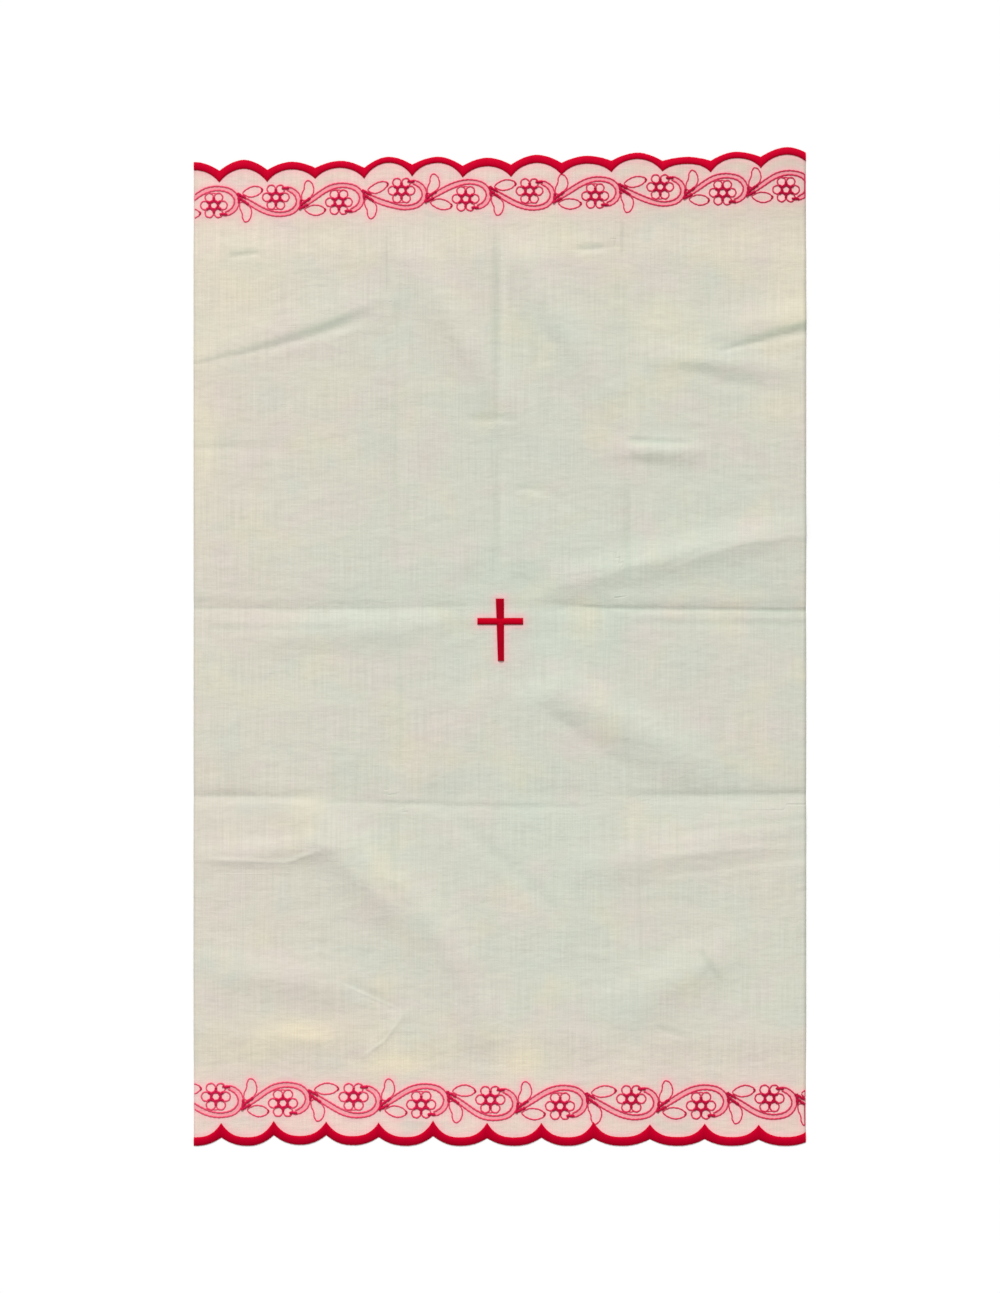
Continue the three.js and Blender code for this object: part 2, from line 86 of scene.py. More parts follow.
FOOT = {
    "way": -1, "crown_y": -HALF_LENGTH, "slope": 0.0, "roundness": 2.2, "first_x": -153.3,
    "first_cusp": (4.1, 7.0),
    "scallops": [
        (24.3, 0.0, 4.0, 3.8, 7.0), (24.3, 0.0, 4.1, 4.9, 6.8), (24.3, -0.5, 4.2, 4.9, 6.5),
        (24.3, -0.3, 4.3, 4.0, 6.9), (25.2, 0.0, 4.2, 4.5, 7.4), (25.0, 0.0, 4.0, 3.5, 7.4),
        (25.2, 0.0, 4.0, 3.8, 7.0), (24.1, 0.0, 4.1, 3.5, 7.8), (26.1, 0.0, 4.2, 3.1, 7.0),
        (25.4, 0.0, 4.2, 3.1, 7.4), (25.0, 0.0, 4.2, 2.9, 7.0), (25.4, 0.0, 4.2, 3.3, 7.0),
    ],
    "pitch": 32.0, "first_joint": (-150.7, -207.3),
    "flowers": [
        (-131.5, -208.4, -1), (-100.4, -211.4, 1), (-67.7, -208.5, -1), (-36.4, -212.1, 1),
        (-4.4, -209.8, -1), (27.9, -212.8, 1), (60.9, -209.4, -1), (93.2, -212.6, 1),
        (124.9, -209.2, -1), (156.6, -208.6, -1),
    ],
}

CROSS = {
    "head_y": 22.2, "foot_y": -6.7, "arm_y": 11.7, "arm_left": -10.4, "arm_right": 10.8,
    "head_width": 3.8, "foot_width": 2.9, "arm_width": 3.1, "foot_x": 0.55, "lean": 0.5,
}

# The press lines of the folded cloth, its broad soft folds, and the fine creases on them.
PRESS_X = (-50.5, 0.0, 57.5)
PRESS_Y = (-69.4, 18.3)
PANEL_ARCH, PANEL_SHOULDER = 0.7, 7.0
# Columns: start x, y, end x, y, rise, half width
FOLDS = [
    (-100, -72, -22, -140, 1.9, 11), (-26, -136, -2, -190, 1.2, 9), (2, -8, 94, -56, 1.5, 10),
    (36, -104, 140, -84, 1.1, 9), (58, -168, 106, -140, 1.4, 10), (-44, 186, 2, 108, 1.5, 9),
    (6, 186, 46, 118, 1.3, 9), (-137, 134, -52, 160, 0.7, 9), (98, 143, 150, 154, 1.0, 8),
    (72, 134, 132, 128, 1.0, 6), (56, 91, 92, 90, 1.2, 5), (20, 27, 150, 57, 1.2, 7),
    (-137, -97, -78, -92, 1.1, 5), (-136, -150, -60, -160, 1.0, 9), (-120, 4, -14, 10, 0.8, 7),
]
# Columns: points along the crease, height (negative for a trough), half width
CREASES = [
    (((-53, 206), (-50, 150), (-48.6, 60), (-48.6, -78)), -0.22, 1.5),
    (((-0.8, 206), (-0.5, 130), (-0.5, 68)), -0.34, 1.5),
    (((57.6, 206), (57.6, 180)), -0.34, 1.4),
    (((57.6, 102), (58.2, 26)), -0.30, 1.5),
    (((-142, 16.6), (-40, 17), (0, 18.2), (40, 17.4), (142, 16.8)), -0.36, 1.7),
    (((-142, 21.8), (-60, 21.6)), 0.25, 2.2),
    (((40, 22.5), (142, 21)), 0.25, 2.4),
    (((-142, -69.2), (-86, -69.6)), -0.45, 1.6),
    (((-86, -72.5), (56, -75.5)), -0.18, 2),
    (((56, -69.6), (142, -69.2)), -0.42, 1.6),
    (((-142, 92.4), (-93, 92)), -0.26, 1.5),
    (((57.6, 89.6), (93, 89.9)), 0.18, 2.6),
    (((-137, 130.5), (-95, 142), (-52.7, 157)), -0.32, 2.6),
    (((99, 137.6), (142, 146.8)), -0.34, 2.4),
    (((73.8, 130.5), (102, 127), (129.5, 124.5)), -0.28, 2),
    (((20.5, 27), (80, 42), (142, 55)), 0.26, 2.6),
    (((-137, -99.4), (-99.6, -100), (-78.7, -93.6)), 0.24, 2.2),
    (((-93, -77), (-44, -119), (-12, -172), (-2.7, -193)), -0.36, 3.2),
    (((-26, -75), (6.6, -105), (29.8, -126)), -0.34, 3.2),
    (((2, -12.3), (34.4, -40), (66.9, -61)), -0.36, 3),
    (((-42, 187), (-32.8, 166), (-25.8, 143), (-2.7, 108)), -0.36, 2.6),
    (((6.6, 184.7), (20.5, 145), (43.7, 119.8)), -0.34, 2.6),
    (((8.9, 78), (41.4, 59.6)), -0.28, 2.4),
    (((-49, 6.3), (-12, 6.6)), -0.22, 1.8),
    (((9, 6), (43.7, 6.4)), -0.22, 1.8),
    (((-63, -189), (-42, -167.6)), 0.34, 2.2),
    (((-76.8, -151), (-44.4, -170.8)), -0.30, 2.4),
    (((-107, -179), (-76.8, -183.8)), 0.30, 3),
    (((90, -155), (99, -140)), 0.28, 1.6),
    (((-18.9, 105.5), (9.9, 105.5)), -0.24, 1.2),
    (((34.4, 184.8), (57.6, 184.8)), -0.24, 1.3),
]
# Faint cream stains. Columns: middle x, y, half width, half height, strength.
STAINS = [
    (-125, 172, 26, 28, 0.30), (-138, 100, 8, 30, 0.45), (134, 166, 12, 30, 0.40),
    (75, 152, 14, 14, 0.35), (130, 110, 14, 8, 0.30), (-88, -178, 24, 7, 0.75),
    (-48, -193, 14, 5, 0.70), (10, -191, 10, 8, 0.65),
]
# Sharp pressed lines, finer than the sheet's grid. Columns: points, and then, at the first and at the
# last point, the half width, the height of the ridge (negative for a trough), and the height of the
# step up to the left of the line's way.
# Ridges and steps also paint shade and highlight into the cotton's colour, most of all on lines running
# head to foot.
PRESSED = [
    (((-142.5, 130.8), (-106.5, 138.8), (-81.9, 145.8), (-56.9, 155.1)), 0.7, 2.3, 0, 0, 0.25, 1),
    (((98.7, 136.6), (119.3, 141.5), (131.3, 144.7), (142.5, 147.1)), 0.8, 1.9, 0, 0, 0.4, 1.1),
    (((124, 121.6), (106.7, 122.6), (91.4, 128.2), (74.3, 128.4)), 2.6, 1.6, 0, 0, -0.5, -0.32),
    (((57.1, 95.6), (74.3, 94.8), (91, 94.2)), 2, 1.4, -0.75, -0.35, 0, 0),
    (((77.5, 84.6), (59, 87.4)), 1.6, 2, 0, 0, -0.2, -0.4),
    (((-17, 105.5), (9.4, 105.5)), 1.4, 1.4, 0, 0, 0.3, 0.3),
    (((-142.5, 17.6), (-67.5, 17.4), (-20, 18.6), (14, 19.8)), 1, 0.8, -0.22, -0.1, 0, 0),
    (((24, 19.8), (46, 17.8), (142.5, 16.4)), 1, 1.5, -0.4, -0.7, 0, 0),
    (((-60, 9.6), (-100, 8.2), (-138, 8.8)), 1.8, 2, -0.2, -0.35, 0, 0),
    (((142.5, 10.6), (90, 10.8), (50, 11.5)), 2.2, 2, -0.35, -0.3, 0, 0),
    (((72.9, 33.1), (92.8, 42), (113.7, 48.4), (142.5, 51.7)), 1.4, 1.8, 0.15, 0.22, 0, 0),
    (((26.5, 31.8), (55.7, 36.4)), 0.9, 0.9, 0, 0, 0.18, 0.12),
    (((-142.5, 92.5), (-125, 92.5), (-84.7, 99.4)), 1.5, 0.9, 0, 0, 0.2, 0.05),
    (((-52.3, 197), (-51.8, 161.6)), 0.6, 0.6, -0.3, -0.3, 0, 0),
    (((-48.1, 161.6), (-47.6, 144)), 1.5, 1.3, -0.4, -0.2, 0, 0),
    (((-48.4, 140), (-48.4, 24)), 1.5, 1.5, -0.25, -0.25, 0, 0),
    (((-46.2, 6), (-46.2, -66)), 1.4, 1.4, -0.24, -0.24, 0, 0),
    (((-48.6, -76), (-48.6, -120)), 1.5, 1.5, -0.26, -0.22, 0, 0),
    (((-0.2, 112), (-0.2, 198)), 1.6, 1.6, 0, 0, 0.2, 0.5),
    (((-0.2, 28), (-0.2, 99)), 1.6, 1.6, 0, 0, 0.2, 0.2),
    (((57.1, 197), (57.1, 180)), 1, 1, -0.35, -0.35, 0, 0),
    (((57.6, 176), (58.2, 100)), 0.8, 0.8, -0.1, -0.1, 0, 0),
    (((59, 80), (59.3, 26)), 1.6, 1.6, -0.34, -0.4, 0, 0),
    (((59.5, 4), (59.5, -64)), 1.4, 1.4, -0.18, -0.18, 0, 0),
    (((34, 183.8), (49.7, 184.8)), 1.1, 1.1, 0, 0, 0.6, 0.5),
    (((-127.1, 180.6), (-110.5, 182.9)), 1.1, 1.1, 0, 0, 0.5, 0.6),
    (((-86.6, 167.1), (-79.6, 166.7)), 0.6, 0.6, 0, 0, 0.2, 0.2),
    (((-107.9, 153.2), (-92.6, 155.1)), 0.9, 0.9, 0, 0, 0.15, 0.2),
    (((6.1, 73.9), (21, 72.6)), 1.2, 1.2, 0, 0, 0.4, 0.3),
    (((-142.5, -69), (-87.9, -69.8), (-82, -70.2)), 1.3, 1.1, -0.24, -0.2, 0, 0),
    (((-92, -71.4), (-46, -72.6), (0, -74), (46, -73.8)), 1.4, 1.4, -0.3, -0.22, 0, 0),
    (((46, -69.2), (90, -68.4), (142.5, -68)), 1.2, 1.6, -0.12, -0.34, 0, 0),
    (((-138.6, -98.4), (-98.6, -99.8), (-78.7, -92.6)), 1.2, 1.3, 0.32, 0.32, 0, 0),
    (((-75.4, -155.1), (-44.9, -169)), 0.9, 0.9, 0.2, 0.25, 0.1, 0.2),
    (((-44.9, -170.8), (-53.2, -182.4), (-64.8, -190.8)), 1, 1, 0.25, 0.3, 0, 0),
    (((91.4, -139.3), (103.5, -156.9)), 1.9, 1.9, -0.4, -0.4, 0, 0),
    (((70, -90), (95, -84), (142.5, -79.5)), 2, 2.2, -0.15, -0.3, 0, 0),
    (((142.5, -92.2), (111.4, -92.7), (70, -97.2)), 2.2, 2, 0.22, 0.22, 0, 0),
    (((65, -107), (92.8, -107.5), (116, -102.5), (142.5, -100)), 2, 2, 0.22, 0.2, 0, 0),
    (((65, -74), (65, -145.3)), 1.3, 1.3, -0.22, -0.16, 0, 0),
    (((70, -175), (88, -181)), 1.2, 1.2, 0, 0, 0.3, 0.3),
]
FOLD_DEPTH = 1.1
# The part of its rise and its fall that a fold skips at its two ends.
BROAD_TAPER, FINE_TAPER = 0.12, 0.08
# How many half widths a fold reaches, how far a pressed line does, and over what it fades there.
FOLD_LIMIT, PRESSED_LIMIT, PRESSED_EASE = 3, 6.5, 2.5
# What lies far from every pressed line: distance in half widths, ridge and step.
NO_PRESSED_LINE = (9.0, 0.0, 0.0)
# An open end of a pressed line fades in over this part of its length.
OPEN_END = 1 / 5
# Columns: depth, breadth across, breadth along and seed of the sheet's gentle unevenness.
RUMPLES = [(0.10, 23, 31, 4.2), (0.05, 7, 11, 9.1)]
# The cloth's underside at its long sides, its climb inside them and over what, and its lowest place.
CLOTH_FLOOR, LIFT_INSIDE, SIDE_EASE, LOWEST = 0.06, 0.40, 12, 0.02
# How much closer the sheet's rows of points lie at its two ends, under the threadwork.
CLOSER_AT_ENDS = 0.35
# The cloth lies level under the vines, and round the cross out to these distances.
FLAT_FROM, FLAT_TO = 178.0, 196.0
CROSS_MIDDLE_Y, LEVEL_ASIDE, LEVEL_ABOVE, LEVEL_EASE = 7, 15, 21, 14
# The rows next to the bindings bend to the scallops, over this depth and share of the length.
BENT_DEPTH, BENT_SHARE = 6, 0.035
# The cotton ends this far into its binding.
BOUND_SHARE = 0.55
# The top of the cotton over its underside, under the threadwork, and over the table under the cross.
SEAT, CROSS_SEAT = 0.36, 0.85
# The lowest that a stitch reaches through the cotton, over the table.
THREAD_FLOOR = 0.03


def smoothstep(value, low, high):
    t = min(max((value - low) / (high - low), 0.0), 1.0)
    return t * t * (3 - 2 * t)


def nearest_on_line(x, y, points):
    """The distance from a point to a line of points, and how far along the line that is, 0 to 1."""
    best, along, passed = math.inf, 0.0, 0.0
    spans = [math.dist(a, b) for a, b in zip(points, points[1:])]
    total = sum(spans)
    for (ax, ay), (bx, by), span in zip(points, points[1:], spans):
        t = ((x - ax) * (bx - ax) + (y - ay) * (by - ay)) / (span * span)
        t = min(max(t, 0.0), 1.0)
        distance = math.hypot(x - ax - t * (bx - ax), y - ay - t * (by - ay))
        if distance < best:
            best, along = distance, (passed + t * span) / total
        passed += span
    return best, along


def reach(points, margin):
    """The box round a line, so that most points of the cloth can pass it by."""
    xs, ys = zip(*points)
    return min(xs) - margin, max(xs) + margin, min(ys) - margin, max(ys) + margin


BROAD = [(((a, b), (c, d)), rise * FOLD_DEPTH, breadth, reach(((a, b), (c, d)), FOLD_LIMIT * breadth))
         for a, b, c, d, rise, breadth in FOLDS]
FINE = [(points, rise, breadth, reach(points, FOLD_LIMIT * breadth)) for points, rise, breadth in CREASES]
PRESSED_REACH = [reach(points, PRESSED_LIMIT) for points, *sizes in PRESSED]


def bumps(x, y, table, taper):
    """The summed height of a table of folds, each fading towards its ends."""
    height = 0.0
    for points, rise, breadth, (x0, x1, y0, y1) in table:
        if x0 < x < x1 and y0 < y < y1:
            distance, along = nearest_on_line(x, y, points)
            fade = math.sin(math.pi * (taper + (1 - 2 * taper) * along))
            height += rise * fade * math.exp(-((distance / breadth) ** 2))
    return height


def panel_height(x, y):
    """The panels between the press lines stand a little proud of them."""
    across = 1 - math.exp(-min(abs(x - line) for line in PRESS_X) / PANEL_SHOULDER)
    along = 1 - math.exp(-min(abs(y - line) for line in PRESS_Y) / PANEL_SHOULDER)
    return PANEL_ARCH * across * along


def cloth_height(x, y):
    """The underside of the cloth over the table, in millimetres."""
    aside = max(0.0, abs(x) - LEVEL_ASIDE)
    above = max(0.0, abs(y - CROSS_MIDDLE_Y) - LEVEL_ABOVE)
    by_cross = 1 - smoothstep(math.hypot(aside, above), 0, LEVEL_EASE)
    level = max(smoothstep(abs(y), FLAT_FROM, FLAT_TO), by_cross)
    height = (panel_height(x, y) + bumps(x, y, BROAD, BROAD_TAPER)) * (1 - level)
    height += bumps(x, y, FINE, FINE_TAPER)
    for depth, across, along, seed in RUMPLES:
        height += depth * noise.noise(Vector((x / across, y / along, seed)))
    inside = smoothstep(HALF_WIDTH - abs(x), 0, SIDE_EASE)
    return max(LOWEST, CLOTH_FLOOR + LIFT_INSIDE * inside + height)


def scallop_at(end, x):
    """The outer edge of the binding at x, and the binding's breadth there."""
    start, (left_cusp, left_tip) = end["first_x"], end["first_cusp"]
    for width, crown, band, cusp, tip in end["scallops"]:
        if x <= start + width or (width, crown, band, cusp, tip) == end["scallops"][-1]:
            u = min(max((x - start) / width * 2 - 1, -1.0), 1.0)
            depth, point = (left_cusp, left_tip) if u < 0 else (cusp, tip)
            outer = crown - (crown + depth) * abs(u) ** end["roundness"]
            breadth = band + (point - band) * abs(u) ** 4
            return end["crown_y"] + end["slope"] * x + end["way"] * outer, breadth
        start, left_cusp, left_tip = start + width, cusp, tip
    raise ValueError("the edging has no scallops")


def pressed_at(x, y):
    """The nearest pressed line: distance from it in half widths, its ridge and its step there."""
    found, nearest = NO_PRESSED_LINE, math.inf
    for (points, *sizes), (x0, x1, y0, y1) in zip(PRESSED, PRESSED_REACH):
        if x0 < x < x1 and y0 < y < y1:
            distance, along = nearest_on_line(x, y, points)
            half_width, ridge, step = [a + (b - a) * along for a, b in zip(sizes[0::2], sizes[1::2])]
            if distance < nearest:
                nearest = distance
                full = min(max((PRESSED_LIMIT - distance) / PRESSED_EASE, 0.0), 1.0)
                full *= line_fade(points, along)
                across = distance / half_width * side_of_line(x, y, points)
                found = (across, ridge * full, step * full)
    return found


def line_fade(points, along):
    """1 along a line, falling to 0 at the ends that lie on the cloth."""
    from_start = along / OPEN_END if abs(points[0][0]) < HALF_WIDTH else 1.0
    from_end = (1 - along) / OPEN_END if abs(points[-1][0]) < HALF_WIDTH else 1.0
    return min(from_start, from_end, 1.0)


def side_of_line(x, y, points):
    """+1 to the left of the line's way and -1 to its right."""
    (ax, ay), (bx, by) = min(zip(points, points[1:]),
                             key=lambda span: nearest_on_line(x, y, span)[0])
    return 1 if (bx - ax) * (y - ay) - (by - ay) * (x - ax) > 0 else -1


# Building blocks

STRIP_SIDES = 18
SAME_PLACE = 1e-7
# The share of a satin band's section that is its top, and how square its shoulders are.
SECTION_TOP, SECTION_SHOULDER = 0.7, 2.4
# How unevenly the single threads lie.
THREAD_JITTER, JITTER_STEP = 0.12, 0.731


def new_object(name, mesh, material=None):
    piece = bpy.data.objects.new(name, mesh)
    bpy.context.scene.collection.objects.link(piece)
    if material is not None:
        mesh.materials.append(material)
    return piece


def finished_mesh(name, bm):
    bmesh.ops.recalc_face_normals(bm, faces=bm.faces[:])
    for face in bm.faces:
        face.smooth = True
    mesh = bpy.data.meshes.new(name)
    bm.to_mesh(mesh)
    bm.free()
    return mesh


def padded_strip(bm, columns, place):
    """A closed padded strip: a grid rolled into a tube by place(column, turn), capped at both ends.

    column runs 0 to 1 along the strip, and turn runs 0 to 1 round its section.
    """
    made = bmesh.ops.create_grid(bm, x_segments=columns, y_segments=STRIP_SIDES, size=0.5)["verts"]
    for vert in made:
        vert.co = Vector(place(vert.co.x + 0.5, vert.co.y + 0.5)) * MM
    bmesh.ops.remove_doubles(bm, verts=made, dist=SAME_PLACE)
    open_edges = [edge for edge in bm.edges if edge.is_boundary]
    if open_edges:
        bmesh.ops.holes_fill(bm, edges=open_edges, sides=0)


def section(turn, padding=0.62):
    """A satin band's section: across it, -1 to 1, and up, 0 to 1. The underside is flat."""
    if turn < SECTION_TOP:
        across = math.cos(math.pi * turn / SECTION_TOP)
        return across, max(0.0, 1 - abs(across) ** SECTION_SHOULDER) ** padding
    return -1 + 2 * (turn - SECTION_TOP) / (1 - SECTION_TOP), 0.0


def stitch_ridge(along, pitch, seed):
    """The height of single threads laid side by side, 0 in the groove and 1 on the thread."""
    thread = along / pitch
    jitter = THREAD_JITTER * noise.noise(Vector((math.floor(thread) * JITTER_STEP, seed, 0.0)))
    return abs(math.sin(math.pi * thread)) + jitter


# Materials

# The sockets of a Mix node for colours, which come after those for numbers and vectors.
MIX_SHARE, MIX_FIRST, MIX_SECOND, MIX_RESULT = 0, 6, 7, 2


class Value:
    """A socket in a material, so that shader maths reads as an expression."""

    def __init__(self, shader, socket):
        self.shader = shader
        self.socket = socket

    def math(self, operation, *others):
        return self.shader.node("ShaderNodeMath", {"operation": operation}, [self, *others])

    def __add__(self, other):
        return self.math("ADD", other)

    def __sub__(self, other):
        return self.math("SUBTRACT", other)

    def __rsub__(self, other):
        return self * -1 + other

    def __mul__(self, other):
        return self.math("MULTIPLY", other)

    def __truediv__(self, other):
        return self.math("DIVIDE", other)

    def __abs__(self):
        return self.math("ABSOLUTE")

    __radd__ = __add__
    __rmul__ = __mul__

    def cosine(self):
        return self.math("COSINE")

    def at_least(self, other):
        return self.math("MAXIMUM", other)

    def at_most(self, other):
        return self.math("MINIMUM", other)

    def clamped(self):
        return self.at_least(0.0).at_most(1.0)

    def ramp(self, rate, start):
        """start where this is nothing, climbing at rate, and kept between 0 and 1."""
        return (self * rate + start).clamped()

    def bell(self):
        """1 where this is nothing, falling to 0 on both sides."""
        return (self * self * -1).math("EXPONENT")


class Shader:
    """A material with one Principled shader, whose varying inputs are set through its nodes."""

    def __init__(self, name, roughness, specular, sheen=0.0):
        self.material = bpy.data.materials.new(name)
        self.material.use_nodes = True
        self.tree = self.material.node_tree
        self.principled = self.tree.nodes["Principled BSDF"]
        self.principled.inputs["Roughness"].default_value = roughness
        self.principled.inputs["Specular IOR Level"].default_value = specular
        self.principled.inputs["Sheen Weight"].default_value = sheen

    def node(self, kind, settings, values, output=0):
        """Adds a node. values go to its inputs in order, or a dictionary names or numbers the inputs."""
        made = self.tree.nodes.new(kind)
        for key, value in settings.items():
            setattr(made, key, value)
        pairs = values.items() if isinstance(values, dict) else enumerate(values)
        for key, value in pairs:
            if isinstance(value, Value):
                self.tree.links.new(value.socket, made.inputs[key])
            else:
                made.inputs[key].default_value = value
        return Value(self, made.outputs[output])

    def axes(self):
        """The piece's own x, y and z, in metres."""
        place = self.node("ShaderNodeTexCoord", {}, [], output="Object")
        return [self.node("ShaderNodeSeparateXYZ", {}, [place], output=axis) for axis in "XYZ"]

    def vector(self, x, y, z):
        return self.node("ShaderNodeCombineXYZ", {}, [x, y, z])

    def noise(self, vector, scale, detail=2.0):
        values = {"Vector": vector, "Scale": scale, "Detail": detail}
        return self.node("ShaderNodeTexNoise", {}, values)

    def mix(self, share, first, second):
        """The first colour, giving way to the second by share."""
        values = {MIX_SHARE: share, MIX_FIRST: first, MIX_SECOND: second}
        return self.node("ShaderNodeMix", {"data_type": "RGBA"}, values, output=MIX_RESULT)

    def layered(self, colour, layers):
        """A colour under layers of others. Columns: where a layer lies, how strong it is, its colour."""
        for where, strength, over in layers:
            colour = self.mix(where * strength, colour, over)
        return colour

    def attribute(self, name):
        """The three numbers of a vector kept on the mesh."""
        kept = self.node("ShaderNodeAttribute", {"attribute_name": name}, [], output="Vector")
        return [self.node("ShaderNodeSeparateXYZ", {}, [kept], output=axis) for axis in "XYZ"]

    def bump(self, height, strength, distance, normal=None):
        values = {"Strength": strength, "Distance": distance, "Height": height}
        if normal is not None:
            values["Normal"] = normal
        return self.node("ShaderNodeBump", {}, values)

    def set(self, name, value):
        self.tree.links.new(value.socket, self.principled.inputs[name])


def rgb(red, green, blue):
    """An sRGB colour out of 255 as the linear colour that a socket takes."""
    def linear(value):
        value /= 255
        return value / 12.92 if value <= 0.04045 else ((value + 0.055) / 1.055) ** 2.4
    return (linear(red), linear(green), linear(blue), 1.0)


WEAVE_PITCH = 0.00046
GREY_THREAD, CREAM_STAIN = rgb(168, 168, 150), rgb(240, 227, 197)
# Painted shade in the pressed lines' troughs and on their steps' shaded side, and painted highlight on
# their crests and lit side.
PAINTED_CREASE_SHADE, LIT_CREST = rgb(152, 172, 150), rgb(240, 237, 222)
# How deep the bumps are: pressed lines, fine crumples, and threads.
PRESSED_BUMP, CRUMPLE_BUMP, THREAD_BUMP = 0.0005, 0.0007, 0.00014


def cotton_material(cotton):
    """Fine plain-woven cotton: threads, slubs, pressed lines with painted shade and highlight along them,
    and an uneven, faintly yellowed ground.
    """
    shader = Shader("cotton_weave", roughness=0.92, specular=0.12, sheen=0.08)
    x, y, z = shader.axes()
    wander = shader.noise(shader.vector(x, y, z), 90.0) * 0.9
    warp_wave, weft_wave = [((way / WEAVE_PITCH + wander) * math.pi).cosine() for way in (x, y)]
    over = warp_wave * weft_wave
    warp = abs(warp_wave) * (over + 1) * 0.5
    weft = abs(weft_wave) * (1 - over) * 0.5
    weave = warp.at_least(weft)
    slub_across = shader.noise(shader.vector(x * 60, y * 1500, 0.0), 1.0, 3.0)
    slub_along = shader.noise(shader.vector(x * 1500, y * 40, 3.0), 1.0, 3.0)

    across, ridge, step = shader.attribute("pressed")
    on_line = across.bell()
    from_line = across * (step * 50).math("TANH")
    painted_step_shade = abs(step) * ((from_line - 0.9) * 0.65).bell()
    painted_step_highlight = abs(step) * ((from_line + 1.0) * 0.7).bell()
    shade = weave * 0.12 + slub_across * 0.13 + slub_along * 0.34
    # Troughs and the shaded side of steps are painted darker green-grey as shade; ridges and the lit side
    # of steps are painted lighter as highlight.
    shader.set("Base Color", shader.layered(cotton_ground(shader, x, y, cotton), (
        (shade.ramp(-1.0, 0.40), 1.4, GREY_THREAD),
        ((ridge.ramp(-1.0, 0.0) * on_line * 0.40 + painted_step_shade * 0.46).clamped(), 1.0, PAINTED_CREASE_SHADE),
        ((ridge.clamped() * on_line * 0.8 + painted_step_highlight * 0.35).clamped(), 1.0, LIT_CREST),
    )))

    pressed = ridge * on_line + step * 0.5 * across.math("TANH") * (across * 0.42).bell()
    folded = shader.bump(pressed, 1.0, PRESSED_BUMP)
    crumple = shader.noise(shader.vector(x * 110, y * 210, 0.5), 1.0, 4.0)
    ripple = shader.noise(shader.vector(x * 60, y * 90, 5.0), 1.0, 4.0)
    creased = shader.bump(crumple + ripple * 1.2, 0.5, CRUMPLE_BUMP, folded)
    height = weave + slub_across * 0.6 + slub_along * 1.3
    shader.set("Normal", shader.bump(height, 0.55, THREAD_BUMP, creased))
    return shader.material


def cotton_ground(shader, x, y, cotton):
    """The cotton's colour: greener in the middle, warmer at the ends, greyer to the right, mottled,
    stained, and pink beside the thread.
    """
    cloud = shader.noise(shader.vector(x, y, 1.0), 16.0, 3.0)
    patch = shader.noise(shader.vector(x, y, 2.0), 38.0, 4.0)
    stain = shader.noise(shader.vector(x, y, 7.0), 30.0, 4.0)
    from_head = HEAD["crown_y"] * MM + x * HEAD["slope"] - y
    from_end = from_head.at_most(y - FOOT["crown_y"] * MM)
    ends = abs(y).ramp(26.0, -4.4)
    strip = from_end.ramp(-100.0, 3.2)
    far_right = x.ramp(6.0, -0.1)
    ground = shader.layered(cotton, (
        # Greener in the middle, warmer to the left and at both ends.
        (abs(x - 0.02).ramp(-5.0, 1.0) * abs(y).ramp(-3.4, 1.0), 1.2, rgb(209, 216, 202)),
        (x.ramp(-6.0, -0.25), 0.55, rgb(229, 216, 203)),
        (ends, 0.75, rgb(236, 217, 202)),
        # Pink beside the bindings, and warm along the vines, more so to the left.
        (from_end.ramp(-100.0, 1.35), 0.6, rgb(255, 212, 200)),
        (strip * x.ramp(-6.0, 0.3), 0.5, rgb(255, 214, 206)),
        (strip * far_right, 0.35, rgb(226, 198, 184)),
        # The head's two corners, and a greyer right side.
        (far_right * y.ramp(16.0, -2.6), 0.8, rgb(198, 190, 172)),
        (x.ramp(-5.5, -0.1) * y.ramp(5.0, -0.2), 0.45, rgb(238, 222, 207)),
        (x.ramp(7.0, 0.0) * abs(y).ramp(-8.0, 1.1), 0.40, rgb(203, 207, 195)),
        # Mottling.
        (cloud.ramp(3.0, -1.2), 0.44, rgb(222, 209, 197)),
        (cloud.ramp(-3.0, 1.15), 0.42, rgb(205, 213, 196)),
        (patch.ramp(6.0, -3.1), 0.48, rgb(222, 207, 202)),
        (patch.ramp(-6.0, 2.8), 0.42, rgb(203, 213, 201)),
        (stain.ramp(6.0, -3.2), ends * 0.4 + 0.48, rgb(227, 219, 193)),
    ))
    for middle_x, middle_y, half_width, half_height, strength in STAINS:
        aside = (x - middle_x * MM) * (1 / (half_width * MM))
        above = (y - middle_y * MM) * (1 / (half_height * MM))
        spread = (aside * aside + above * above + (patch - 0.5) * 3.0).at_least(0.0)
        ground = shader.mix(spread.math("SQRT").bell() * strength, ground, CREAM_STAIN)
    halo, stem, petal = shader.attribute("tint")
    return shader.layered(ground, (
        (halo, 0.74, rgb(255, 186, 193)),
        (stem, 0.70, rgb(250, 118, 144)),
        (petal, 0.8, rgb(255, 206, 203)),
    ))


def satin_material(name, plain, deep, bright, arm_sheen=0.0):
    """Crimson satin-stitch thread: streaked along each strand, and brighter on the cross's arms, where a
    sheen is painted.
    """
    shader = Shader(name, roughness=0.6, specular=0.02)
    x, y, z = shader.axes()
    strand = shader.noise(shader.vector(x * 3200, y * 260, z * 260), 1.0, 2.0)
    cloud = shader.noise(shader.vector(x, y, z), 120.0, 2.0)
    layers = [(strand.ramp(1.8, -0.5), 0.6, deep), (cloud.ramp(2.0, -0.8), 0.35, bright)]
    if arm_sheen:
        # Painted sheen: the arms are coloured brighter, as if their threads caught the light.
        on_arm = abs(y - CROSS["arm_y"] * MM).ramp(-700, 1.0)
        layers.append(((on_arm * 4).clamped(), arm_sheen, bright))
    shader.set("Base Color", shader.layered(plain, layers))
    shader.set("Roughness", strand * 0.25 + 0.5)
    shader.set("Normal", shader.bump(strand, 0.35, 0.0001))
    return shader.material


